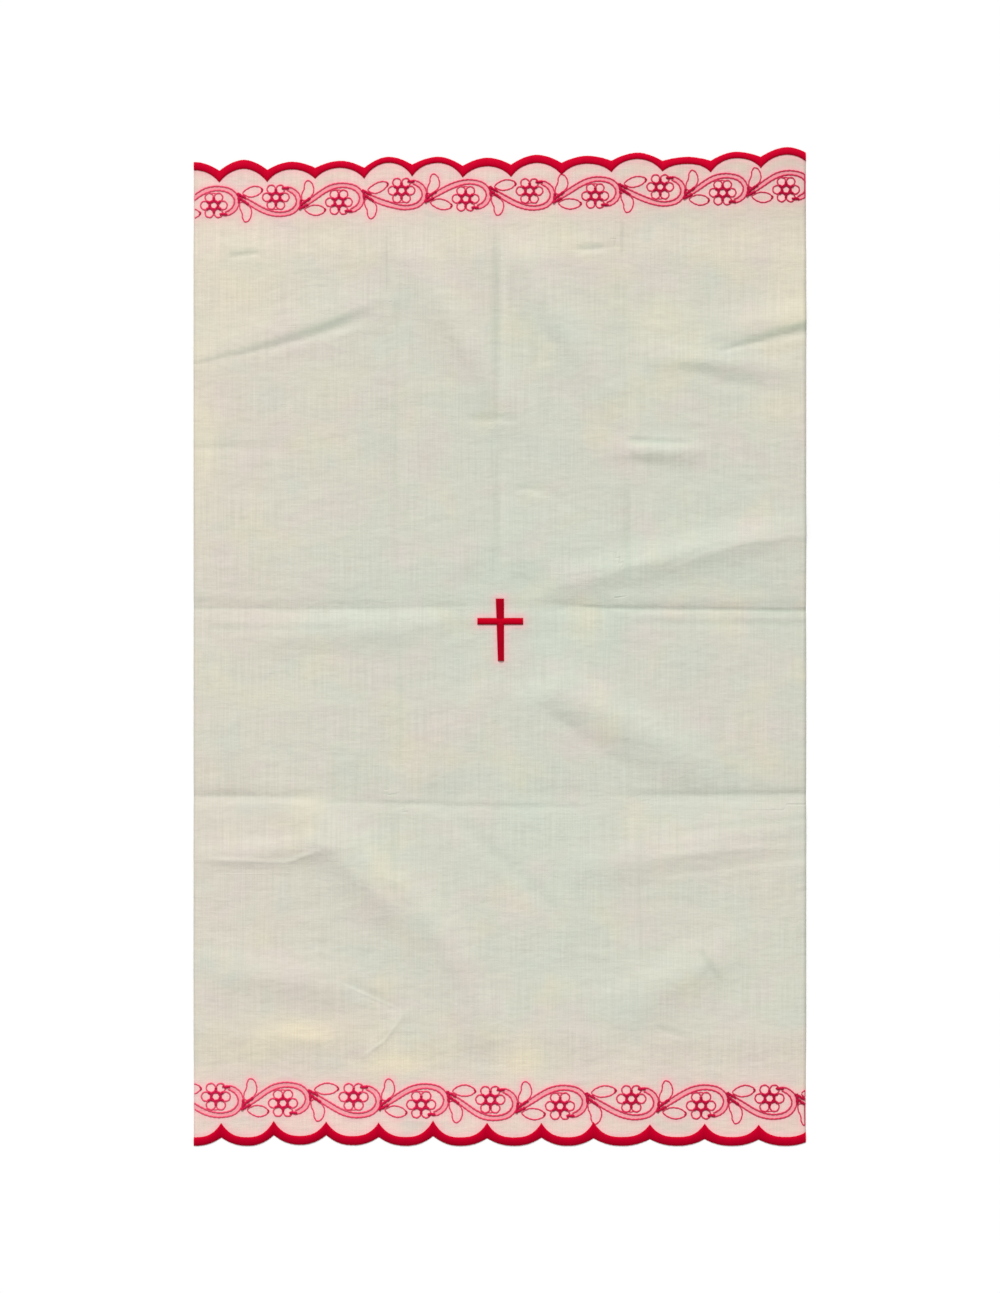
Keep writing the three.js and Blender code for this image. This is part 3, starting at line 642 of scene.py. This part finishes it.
def thread_material(name, plain, worn, dark):
    """Crimson stranded thread of the outline stitches: its colour, where it is worn, and its plies."""
    shader = Shader(name, roughness=0.75, specular=0.04, sheen=0.05)
    x, y, z = shader.axes()
    ply = shader.noise(shader.vector(x, y, z), 2600.0, 2.0)
    fade = shader.noise(shader.vector(x, y, z), 240.0, 2.0)
    shader.set("Base Color", shader.layered(plain, (
        (fade.ramp(2.2, -0.8), 0.6, worn),
        (ply.ramp(1.6, -0.5), 0.35, dark),
        # Darker towards the right and paler towards the left, along the whole vine.
        (x.ramp(6.0, 0.1), 0.55, dark),
        (x.ramp(-6.0, -0.1), 0.4, worn),
    )))
    shader.set("Normal", shader.bump(ply, 0.5, 0.00012))
    return shader.material


def floor_material():
    shader = Shader("white_table", roughness=0.9, specular=0.1)
    x, y, z = shader.axes()
    grain = shader.noise(shader.vector(x, y, z), 60.0, 3.0)
    shader.set("Base Color", shader.mix(grain * 0.2, rgb(250, 250, 250), rgb(246, 246, 246)))
    return shader.material


# The cloth

def cloth_mesh(settings):
    bm = bmesh.new()
    spacing = settings.grid_spacing / MM
    columns, rows = round(2 * HALF_WIDTH / spacing), round(2 * HALF_LENGTH / spacing)
    verts = bmesh.ops.create_grid(bm, x_segments=columns, y_segments=rows, size=1.0)["verts"]
    edges = {}
    for vert in verts:
        x = vert.co.x * HALF_WIDTH
        if x not in edges:
            edges[x] = [binding_middle(end, x) for end in (FOOT, HEAD)]
        foot, head = edges[x]
        level_foot = FOOT["crown_y"] + BENT_DEPTH
        level_head = HEAD["crown_y"] + HEAD["slope"] * x - BENT_DEPTH
        share = (vert.co.y + 1) / 2
        share -= CLOSER_AT_ENDS * math.sin(math.tau * share) / math.tau
        y = level_foot + share * (level_head - level_foot)
        y += (foot - level_foot) * (1 - smoothstep(share, 0, BENT_SHARE))
        y += (head - level_head) * smoothstep(share, 1 - BENT_SHARE, 1)
        vert.co = Vector((x, y, cloth_height(x, y))) * MM
    bmesh.ops.recalc_face_normals(bm, faces=bm.faces[:])
    bmesh.ops.solidify(bm, geom=bm.faces[:], thickness=-settings.thickness)
    return finished_mesh("cotton_cloth", bm)


def tree_of(points):
    tree = kdtree.KDTree(len(points))
    for i, point in enumerate(points):
        tree.insert(point, i)
    tree.balance()
    return tree


# The cloth is tinted beyond this y, and within these distances of its middle, round the cross.
TINTED_BEYOND_Y, TINTED_WITHIN_X, TINTED_WITHIN_Y = 185, 20, 30
# Columns: strength and reach of the pink beside thread, close to it and further out.
HALOS = ((0.85, 1.7), (0.15, 5.0))
# Half the breadth of the tint in a stem and in a petal.
STEM_TINT, PETAL_TINT = 1.2, 1.5


def mark_cloth(mesh, threads):
    """Keeps on the mesh its pressed lines and its red tints: beside thread, in stems and in petals."""
    near_thread = tree_of([v.co for thread in threads for v in list(thread.data.vertices)[::6]])
    places = [place for end in (HEAD, FOOT) for place in placers(end)]
    in_stem = tree_of([on_table(point) for place in places
                       for point in smooth_line([place(p) for p in STEM_MIDDLE], False, 8)])
    in_petal = tree_of([on_table(place(centre)) for place in places for centre in PETALS])
    tints, pressed = [mesh.attributes.new(name, "FLOAT_VECTOR", "POINT") for name in ("tint", "pressed")]

    def within(tree, point, breadth):
        return math.exp(-((tree.find(point)[2] / MM / breadth) ** 4))

    for vert, tint, line in zip(mesh.vertices, tints.data, pressed.data):
        x, y = vert.co.xy / MM
        line.vector = pressed_at(x, y)
        if abs(y) > TINTED_BEYOND_Y or (abs(x) < TINTED_WITHIN_X and abs(y) < TINTED_WITHIN_Y):
            near = near_thread.find(vert.co)[2] / MM
            halo = sum(strength * math.exp(-((near / breadth) ** 2)) for strength, breadth in HALOS)
            flat = on_table((x, y))
            tint.vector = (halo, within(in_stem, flat, STEM_TINT), within(in_petal, flat, PETAL_TINT))


def on_table(point):
    return Vector((point[0], point[1], 0.0)) * MM


def binding_middle(end, x):
    outer, breadth = scallop_at(end, x)
    return outer - end["way"] * breadth * BOUND_SHARE


# The edging

BAND_SEED = 2.2
# How far the edging wavers, and how far its threads stand out at its two edges.
WOBBLE, THREAD_PROUD = 0.10, 0.012


def edging_mesh(end, settings, name):
    bm = bmesh.new()
    pitch = settings.stitch_pitch / MM
    height = settings.height / MM

    def place(column, turn):
        x = (column * 2 - 1) * HALF_WIDTH
        outer, breadth = scallop_at(end, x)
        across, up = section(turn)
        ridge = stitch_ridge(x + HALF_WIDTH, pitch, BAND_SEED)
        wobble = WOBBLE * noise.noise(Vector((x * 1.9, across * 0.6, 3.0)))
        y = outer - end["way"] * breadth * (0.5 - across * (0.5 + THREAD_PROUD * ridge)) + wobble
        on_cloth = cloth_height(x, outer - end["way"] * breadth) + SEAT
        base = CLOTH_FLOOR + (on_cloth - CLOTH_FLOOR) * (1 - across) / 2
        return x, y, base + up * height * (0.90 + 0.10 * ridge)

    padded_strip(bm, round(2 * HALF_WIDTH / pitch) * 3, place)
    return finished_mesh(name, bm)


# The cross

UPRIGHT_SEED, ARM_SEED = 7.0, 8.0
# The arm stands higher than the upright that it crosses, and both are rounded off at their ends.
ARM_RAISED, END_ROUND = 1.06, 0.35


def cross_mesh(settings):
    bm = bmesh.new()
    height, pitch = settings.height / MM, settings.stitch_pitch / MM
    length = CROSS["head_y"] - CROSS["foot_y"]
    reach_x = CROSS["arm_right"] - CROSS["arm_left"]

    def padded(column, turn, along, seed, raised):
        """The place across a bar of the cross, -1 to 1, and the height there."""
        across, up = section(turn, padding=0.5)
        rounded = 0.6 + 0.4 * min(1.0, min(column, 1 - column) * along / END_ROUND)
        ridge = stitch_ridge(column * along, pitch, seed)
        z = CROSS_SEAT + up * (0.85 + 0.15 * ridge) * height * raised * rounded
        return across * (1 + 0.02 * ridge), z

    def upright(column, turn):
        across, z = padded(column, turn, length, UPRIGHT_SEED, 1.0)
        width = CROSS["foot_width"] + (CROSS["head_width"] - CROSS["foot_width"]) * column
        middle = CROSS["foot_x"] - CROSS["lean"] * column
        return middle + across * width / 2, CROSS["foot_y"] + column * length, z

    def arm(column, turn):
        across, z = padded(column, turn, reach_x, ARM_SEED, ARM_RAISED)
        y = CROSS["arm_y"] - across * CROSS["arm_width"] / 2
        return CROSS["arm_left"] + column * reach_x, y, z

    padded_strip(bm, round(length / pitch) * 4, upright)
    padded_strip(bm, round(reach_x / pitch) * 4, arm)
    return finished_mesh("satin_cross", bm)


# The vine, charted in flower pitches from a flower's middle, with the stem's side up. The left end of
# the chart is drawn to the joint, where the stem leaves the curl before it.

JOINT = (-0.600, -0.035)
NEXT_JOINT, NEXT_JOINT_SAME_SIDE = (0.395, 0.142), (0.402, -0.010)
STEM_OUTER = ((-0.6, -0.01), (-0.45, 0.093), (-0.3, 0.19), (-0.14, 0.268), (0.04, 0.3),
              (0.227, 0.274), (0.335, 0.205), (0.39, 0.104), (0.39, 0.01), (0.345, -0.08),
              (0.245, -0.148), (0.15, -0.156))
STEM_INNER = ((-0.62, -0.075), (-0.49, -0.008), (-0.34, 0.08), (-0.22, 0.152), (-0.08, 0.212),
              (0.05, 0.234), (0.17, 0.22), (0.262, 0.176), (0.318, 0.1), (0.318, 0.024),
              (0.272, -0.052), (0.18, -0.108))
STEM_MIDDLE = ((-0.54, 0.0), (-0.32, 0.135), (-0.11, 0.24), (0.05, 0.268), (0.2, 0.245),
               (0.3, 0.19), (0.354, 0.102), (0.354, 0.017), (0.308, -0.066), (0.2, -0.13))
STEM_CORE = ((-0.16, 0.178), (-0.04, 0.192), (0.07, 0.184))
LENS_LEAF = ((-0.539, -0.085), (-0.475, -0.04), (-0.4, -0.022), (-0.285, -0.048), (-0.214, -0.116),
             (-0.26, -0.165), (-0.365, -0.187), (-0.475, -0.148))
COMMA_LEAF = ((-0.585, 0.075), (-0.585, 0.155), (-0.55, 0.235), (-0.542, 0.31), (-0.5, 0.368),
              (-0.435, 0.335), (-0.4, 0.245), (-0.408, 0.165), (-0.46, 0.098), (-0.53, 0.055))
BOLD_STITCHES = (
    ((-0.635, -0.075), (-0.58, -0.055), (-0.49, -0.008)),
    ((-0.605, -0.02), (-0.545, 0.028), (-0.45, 0.093)),
    ((-0.612, -0.09), (-0.603, -0.015), (-0.597, 0.065)),
    ((0.095, -0.15), (0.14, -0.138), (0.205, -0.148)),
)
TIP_STITCH = ((-0.232, -0.09), (-0.21, -0.116), (-0.235, -0.138))
PETAL_RING, PETAL_RADIUS, HEART_RADIUS = 0.143, 0.067, 0.060
PETALS = [(0.0, 0.0)] + [(PETAL_RING * math.cos(turn), PETAL_RING * math.sin(turn))
                         for turn in (math.tau * k / 6 for k in range(6))]
# The thin lines, in the order in which they are worked. Columns: chart, thickness, closed or open
THIN_LINES = ((STEM_OUTER, 1.1, False), (STEM_INNER, 1.2, False), (STEM_CORE, 0.8, False),
              (LENS_LEAF, 1.0, True), (COMMA_LEAF, 1.0, True))
# Part of the chart over which a flower's stem bends to reach the joint before it.
BEND_FROM, BEND_TO = -0.5, -0.1


def smooth_line(points, closed, steps):
    """A Catmull-Rom line through the points."""
    count = len(points)
    spans = count if closed else count - 1

    def at(i):
        return Vector(points[i % count]) if closed else Vector(points[min(max(i, 0), count - 1)])

    line = []
    for i in range(spans):
        a, b, c, d = at(i - 1), at(i), at(i + 1), at(i + 2)
        for step in range(steps):
            t = step / steps
            line.append(0.5 * (2 * b + (c - a) * t + (2 * a - 5 * b + 4 * c - d) * t * t
                               + (3 * b - a - 3 * c + d) * t * t * t))
    if not closed:
        line.append(at(count - 1))
    return line


def resampled(line, closed, spacing):
    """The line's points, evenly spaced."""
    ring = line + [line[0]] if closed else line
    spans = [(b - a).length for a, b in zip(ring, ring[1:])]
    count = max(3, round(sum(spans) / spacing))
    points, i, passed = [], 0, 0.0
    for k in range(count if closed else count + 1):
        wanted = sum(spans) * k / count
        while i < len(spans) - 1 and passed + spans[i] < wanted:
            passed += spans[i]
            i += 1
        t = (wanted - passed) / spans[i] if spans[i] else 0.0
        points.append(ring[i].lerp(ring[i + 1], min(t, 1.0)))
    return points


def placer(end, flower, joint):
    """Turns a flower's chart points into places on the cloth, in millimetres."""
    x, y, side = flower
    pitch = end["pitch"]
    pull = Vector(joint) - Vector((x + JOINT[0] * pitch, y + side * JOINT[1] * pitch))

    def place(point):
        share = 1 - smoothstep(point[0], BEND_FROM, BEND_TO)
        return Vector((x + point[0] * pitch, y + side * point[1] * pitch)) + pull * share

    return place


def placers(end):
    """One placer for each flower of an end's vine, each starting on the curl before it."""
    joint, made = end["first_joint"], []
    for i, flower in enumerate(end["flowers"]):
        made.append(placer(end, flower, joint))
        x, y, side = flower
        last = i == len(end["flowers"]) - 1
        same = not last and end["flowers"][i + 1][2] == side
        ahead = NEXT_JOINT_SAME_SIDE if same else NEXT_JOINT
        joint = (x + ahead[0] * end["pitch"], y + side * ahead[1] * end["pitch"])
    return made


POINTS_A_STITCH, RING_POINTS = 5, 24
# A stitch's thickness at its ends and how much its middle adds, and its lean over its width.
STITCH_END, STITCH_SWELL, STITCH_LEAN = 0.76, 0.24, 0.16
# The thin lines sink into the cotton by this part of their half width.
THIN_SUNK = 0.2
# Stitches stop this far from the cloth's long sides.
SIDE_MARGIN = 0.3


class OutlineWork:
    """Works lines of outline stitch into one curve object that follows the cloth."""

    def __init__(self, name, settings, materials):
        self.name = name
        self.curve = bpy.data.curves.new(name, "CURVE")
        for material in materials:
            self.curve.materials.append(material)
        self.curve.dimensions = "3D"
        self.curve.bevel_depth = MM
        self.curve.bevel_resolution = 1
        self.curve.use_fill_caps = True
        self.settings = settings
        self.random = random.Random(name)

    def stitch(self, line, width, closed=False, bold=False):
        """One line of stitches. Each stitch swells in its middle and leans a little on the next."""
        points = resampled(line, closed, self.settings.stitch_length / MM / POINTS_A_STITCH)
        points = [p for p in points if abs(p.x) < HALF_WIDTH - SIDE_MARGIN]
        if len(points) < 3:
            return
        closed = closed and max(abs(p.x) for p in points) < HALF_WIDTH - 1
        spline = self.curve.splines.new("POLY")
        spline.points.add(len(points) - 1)
        spline.use_cyclic_u = closed
        spline.use_smooth = True
        spline.material_index = 1 if bold else 0
        phase = self.random.random() * POINTS_A_STITCH
        for i, (point, target) in enumerate(zip(points, spline.points)):
            before, after = points[max(i - 1, 0)], points[min(i + 1, len(points) - 1)]
            way = (after - before).normalized()
            share = ((i + phase) / POINTS_A_STITCH) % 1.0
            lean = (share - 0.5) * width * STITCH_LEAN
            x, y = point.x - way.y * lean, point.y + way.x * lean
            half = width / 2 * (STITCH_END + STITCH_SWELL * math.sin(math.pi * share))
            sunk = 0.0 if bold else THIN_SUNK * half
            z = cloth_height(x, y) + self.settings.seat / MM - sunk
            target.co = (x * MM, y * MM, z * MM, 1.0)
            target.radius = half

    def finished(self):
        stand_in = bpy.data.objects.new(self.name, self.curve)
        bpy.context.scene.collection.objects.link(stand_in)
        depsgraph = bpy.context.evaluated_depsgraph_get()
        mesh = bpy.data.meshes.new_from_object(stand_in.evaluated_get(depsgraph))
        bpy.data.objects.remove(stand_in)
        for vert in mesh.vertices:
            vert.co.z = max(vert.co.z, THREAD_FLOOR * MM)
        mesh.name = self.name
        return new_object(self.name, mesh)


def ring(centre, radius):
    turns = [math.tau * i / RING_POINTS for i in range(RING_POINTS)]
    return [centre + Vector((radius * math.cos(a), radius * math.sin(a))) for a in turns]


# Thickness of the rings in thin threads, and of the heart's stitches in thick ones.
RING_THICKNESS, HEART_THICKNESS = 1.15, 0.72
# Between two petals a thick stitch runs over this part of the way out from the heart.
BETWEEN_FROM, BETWEEN_TO = 0.62, 1.04
# Half the length of the stitch between the heart and a petal, in petal radii.
SEAT_STITCH = 0.62


def work_flower(work, place, pitch, thin, bold):
    """Seven rings of thread, six round one, with thick stitches where they meet."""
    heart, *centres = [place(centre) for centre in PETALS]
    for centre in centres:
        work.stitch(ring(centre, PETAL_RADIUS * pitch), thin * RING_THICKNESS, closed=True)
    work.stitch(ring(heart, HEART_RADIUS * pitch), bold * HEART_THICKNESS, closed=True, bold=True)
    for centre, following in zip(centres, centres[1:] + centres[:1]):
        middle = (centre + following) / 2
        inwards = heart + (middle - heart) * BETWEEN_FROM
        outwards = heart + (middle - heart) * BETWEEN_TO
        work.stitch([inwards, (inwards + outwards) / 2, outwards], bold, bold=True)
        side = (centre - heart).normalized()
        across = Vector((-side.y, side.x)) * PETAL_RADIUS * pitch * SEAT_STITCH
        seat = (heart + centre) / 2
        work.stitch([seat - across, seat, seat + across], bold * HEART_THICKNESS, bold=True)


def work_vine(end, name, settings, materials):
    work = OutlineWork(name, settings, materials)
    thin, bold = settings.line_width / MM, settings.bold_width / MM
    lines = [(chart, thin * threads, closed, False) for chart, threads, closed in THIN_LINES]
    lines.append((TIP_STITCH, thin * 1.2, False, True))
    lines += [(chart, bold, False, True) for chart in BOLD_STITCHES]
    for place in placers(end):
        for chart, width, closed, dark in lines:
            work.stitch(smooth_line([place(p) for p in chart], closed, 7), width, closed, dark)
        work_flower(work, place, end["pitch"], thin, bold)
    return work.finished()


# Settings

def length(name, description, default):
    return FloatProperty(name=name, description=description, default=default, unit="LENGTH")


def colour(name, description, *default):
    return FloatVectorProperty(name=name, description=description, default=rgb(*default), size=4,
                               subtype="COLOR", min=0.0, max=1.0)


class ClothSettings(bpy.types.PropertyGroup):
    thickness: length("Thickness", "Thickness of the cotton", 0.00035)
    grid_spacing: length("Grid", "Distance between the sheet's points", 0.00175)
    cotton: colour("Cotton", "Colour of the cotton where it is neither stained nor tinted", 217, 214, 199)


class EdgingSettings(bpy.types.PropertyGroup):
    height: length("Height", "How far the padded band rises", 0.0009)
    stitch_pitch: length("Stitch pitch", "Distance between threads", 0.0005)
    plain: colour("Thread", "Colour of the satin thread", 196, 0, 40)
    deep: colour("Deep", "Its colour in the shade of a strand", 160, 0, 34)
    bright: colour("Bright", "Its colour where it catches the light", 206, 0, 46)


class CrossSettings(bpy.types.PropertyGroup):
    height: length("Height", "How far the padding rises", 0.0009)
    stitch_pitch: length("Stitch pitch", "Distance between threads", 0.0005)
    plain: colour("Thread", "Colour of the satin thread", 172, 0, 30)
    deep: colour("Deep", "Its colour in the shade of a strand", 142, 0, 26)
    # On the arms this colour is a painted sheen.
    bright: colour("Bright", "Its colour on the arms", 206, 0, 34)


class VineSettings(bpy.types.PropertyGroup):
    line_width: length("Line", "Width of the thin lines of thread", 0.00078)
    bold_width: length("Bold", "Width of the thick stitches", 0.00145)
    stitch_length: length("Stitch", "Length of one stitch", 0.0021)
    seat: length("Seat", "Top of the cotton over its underside", 0.00036)
    faded: colour("Faded thread", "Colour of the thin lines", 222, 58, 94)
    faded_worn: colour("Worn", "Their colour where they are worn", 236, 104, 130)
    faded_dark: colour("Dark", "Their colour between the plies", 182, 34, 68)
    deep: colour("Deep thread", "Colour of the thick stitches", 198, 16, 64)
    deep_worn: colour("Worn", "Their colour where they are worn", 212, 36, 84)
    deep_dark: colour("Dark", "Their colour between the plies", 160, 6, 46)


class StageSettings(bpy.types.PropertyGroup):
    camera_height: length("Camera height", "Height over the table", 1.4145)
    camera_aside: length("Camera aside", "How far right of the middle the camera stands", 0.0001)
    lens: FloatProperty(name="Lens", description="Focal length in millimetres", default=85.0)
    light_elevation: FloatProperty(
        name="Light elevation", description="Height of the main light over the horizon",
        default=math.radians(38), subtype="ANGLE")
    light_turn: FloatProperty(
        name="Light turn", description="How far the main light is turned from the head end",
        default=math.radians(8), subtype="ANGLE")
    softness: FloatProperty(
        name="Softness", description="Breadth of the main light", default=math.radians(14),
        subtype="ANGLE")
    main_light: FloatProperty(name="Main light", description="Strength of the main light", default=3.1)
    fill_light: FloatProperty(name="Fill light", description="Strength of the even light", default=0.46)
    floor_side: length("Floor", "Side of the table top", 3.0)


GROUPS = {
    "purificator_cloth": ClothSettings,
    "purificator_edging": EdgingSettings,
    "purificator_cross": CrossSettings,
    "purificator_vine": VineSettings,
    "purificator_stage": StageSettings,
}


# Operators

class PURIFICATOR_OT_cloth(bpy.types.Operator):
    """Lays the cotton cloth on the table, in its folds"""

    bl_idname = "purificator.cloth"
    bl_label = "Cloth"

    def execute(self, context):
        settings = context.scene.purificator_cloth
        threads = [bpy.data.objects[name] for name in THREADWORK if name in bpy.data.objects]
        if len(threads) < len(THREADWORK):
            raise RuntimeError("work the thread first: the cloth is tinted along it")
        piece = new_object("cotton_cloth", cloth_mesh(settings), cotton_material(settings.cotton))
        mark_cloth(piece.data, threads)
        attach(piece, "root")
        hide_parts("cloth")
        return {"FINISHED"}


class PURIFICATOR_OT_edging(bpy.types.Operator):
    """Works the scalloped satin-stitch edging at both ends"""

    bl_idname = "purificator.edging"
    bl_label = "Edging"

    def execute(self, context):
        settings = context.scene.purificator_edging
        material = satin_material("crimson_satin", settings.plain, settings.deep, settings.bright)
        for end, name in ((HEAD, "head"), (FOOT, "foot")):
            mesh = edging_mesh(end, settings, name + "_satin_edging")
            piece = new_object(name + "_satin_edging", mesh, material)
            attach(piece, "root")
            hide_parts(name + "_scallop_edging")
        return {"FINISHED"}


class PURIFICATOR_OT_vine(bpy.types.Operator):
    """Works the flower vines at both ends in outline stitch"""

    bl_idname = "purificator.vine"
    bl_label = "Vines"

    def execute(self, context):
        settings = context.scene.purificator_vine
        faded = thread_material("faded_thread", settings.faded, settings.faded_worn, settings.faded_dark)
        deep = thread_material("crimson_thread", settings.deep, settings.deep_worn, settings.deep_dark)
        for end, name in ((HEAD, "head"), (FOOT, "foot")):
            piece = work_vine(end, name + "_stitched_vine", settings, (faded, deep))
            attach(piece, "root")
            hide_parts(name + "_vine")
        return {"FINISHED"}


class PURIFICATOR_OT_cross(bpy.types.Operator):
    """Works the satin-stitch cross in the middle"""

    bl_idname = "purificator.cross"
    bl_label = "Cross"

    def execute(self, context):
        settings = context.scene.purificator_cross
        # The arms get a painted sheen in the brighter colour.
        material = satin_material("deep_crimson_satin", settings.plain, settings.deep, settings.bright,
                                  arm_sheen=0.6)
        piece = new_object("satin_cross", cross_mesh(settings), material)
        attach(piece, "root")
        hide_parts("cross")
        return {"FINISHED"}


class PURIFICATOR_OT_stage(bpy.types.Operator):
    """Sets the table top, the lights and the camera"""

    bl_idname = "purificator.stage"
    bl_label = "Stage"

    def execute(self, context):
        scene = context.scene
        settings = scene.purificator_stage
        bm = bmesh.new()
        bmesh.ops.create_grid(bm, x_segments=8, y_segments=8, size=settings.floor_side / 2)
        new_object("table_top", finished_mesh("table_top", bm), floor_material())

        lamp = bpy.data.lights.new("window", "SUN")
        lamp.energy = settings.main_light
        lamp.angle = settings.softness
        window = bpy.data.objects.new("window", lamp)
        window.rotation_euler = (settings.light_elevation - math.pi / 2, 0.0, settings.light_turn)
        scene.collection.objects.link(window)

        world = bpy.data.worlds.new("studio")
        world.use_nodes = True
        background = world.node_tree.nodes["Background"]
        background.inputs["Color"].default_value = (1.0, 1.0, 1.0, 1.0)
        background.inputs["Strength"].default_value = settings.fill_light
        scene.world = world

        data = bpy.data.cameras.new("camera")
        data.lens = settings.lens
        data.sensor_width = 36.0
        camera = bpy.data.objects.new("camera", data)
        camera.location = (settings.camera_aside, 0.0, settings.camera_height)
        scene.collection.objects.link(camera)
        scene.camera = camera
        scene.view_settings.view_transform = "Standard"
        return {"FINISHED"}


class PURIFICATOR_PT_panel(bpy.types.Panel):
    """The pieces of the purificator"""

    bl_idname = "PURIFICATOR_PT_panel"
    bl_label = "Purificator"
    bl_space_type = "VIEW_3D"
    bl_region_type = "UI"
    bl_category = "Purificator"

    def draw(self, context):
        for name, operator in zip(GROUPS, OPERATORS):
            self.layout.operator(operator.bl_idname)
            group = getattr(context.scene, name)
            for setting in group.bl_rna.properties:
                if setting.identifier not in ("rna_type", "name"):
                    self.layout.prop(group, setting.identifier)


OPERATORS = (PURIFICATOR_OT_cloth, PURIFICATOR_OT_edging, PURIFICATOR_OT_cross, PURIFICATOR_OT_vine,
             PURIFICATOR_OT_stage)


def register():
    for group in GROUPS.values():
        bpy.utils.register_class(group)
    for name, group in GROUPS.items():
        setattr(bpy.types.Scene, name, PointerProperty(type=group))
    for operator in OPERATORS:
        bpy.utils.register_class(operator)
    bpy.utils.register_class(PURIFICATOR_PT_panel)


def unregister():
    bpy.utils.unregister_class(PURIFICATOR_PT_panel)
    for operator in reversed(OPERATORS):
        bpy.utils.unregister_class(operator)
    for name in GROUPS:
        delattr(bpy.types.Scene, name)
    for group in reversed(GROUPS.values()):
        bpy.utils.unregister_class(group)


def main():
    register()
    bpy.ops.purificator.vine()
    bpy.ops.purificator.cross()
    bpy.ops.purificator.edging()
    bpy.ops.purificator.cloth()
    bpy.ops.purificator.stage()


if __name__ == "__main__":
    main()
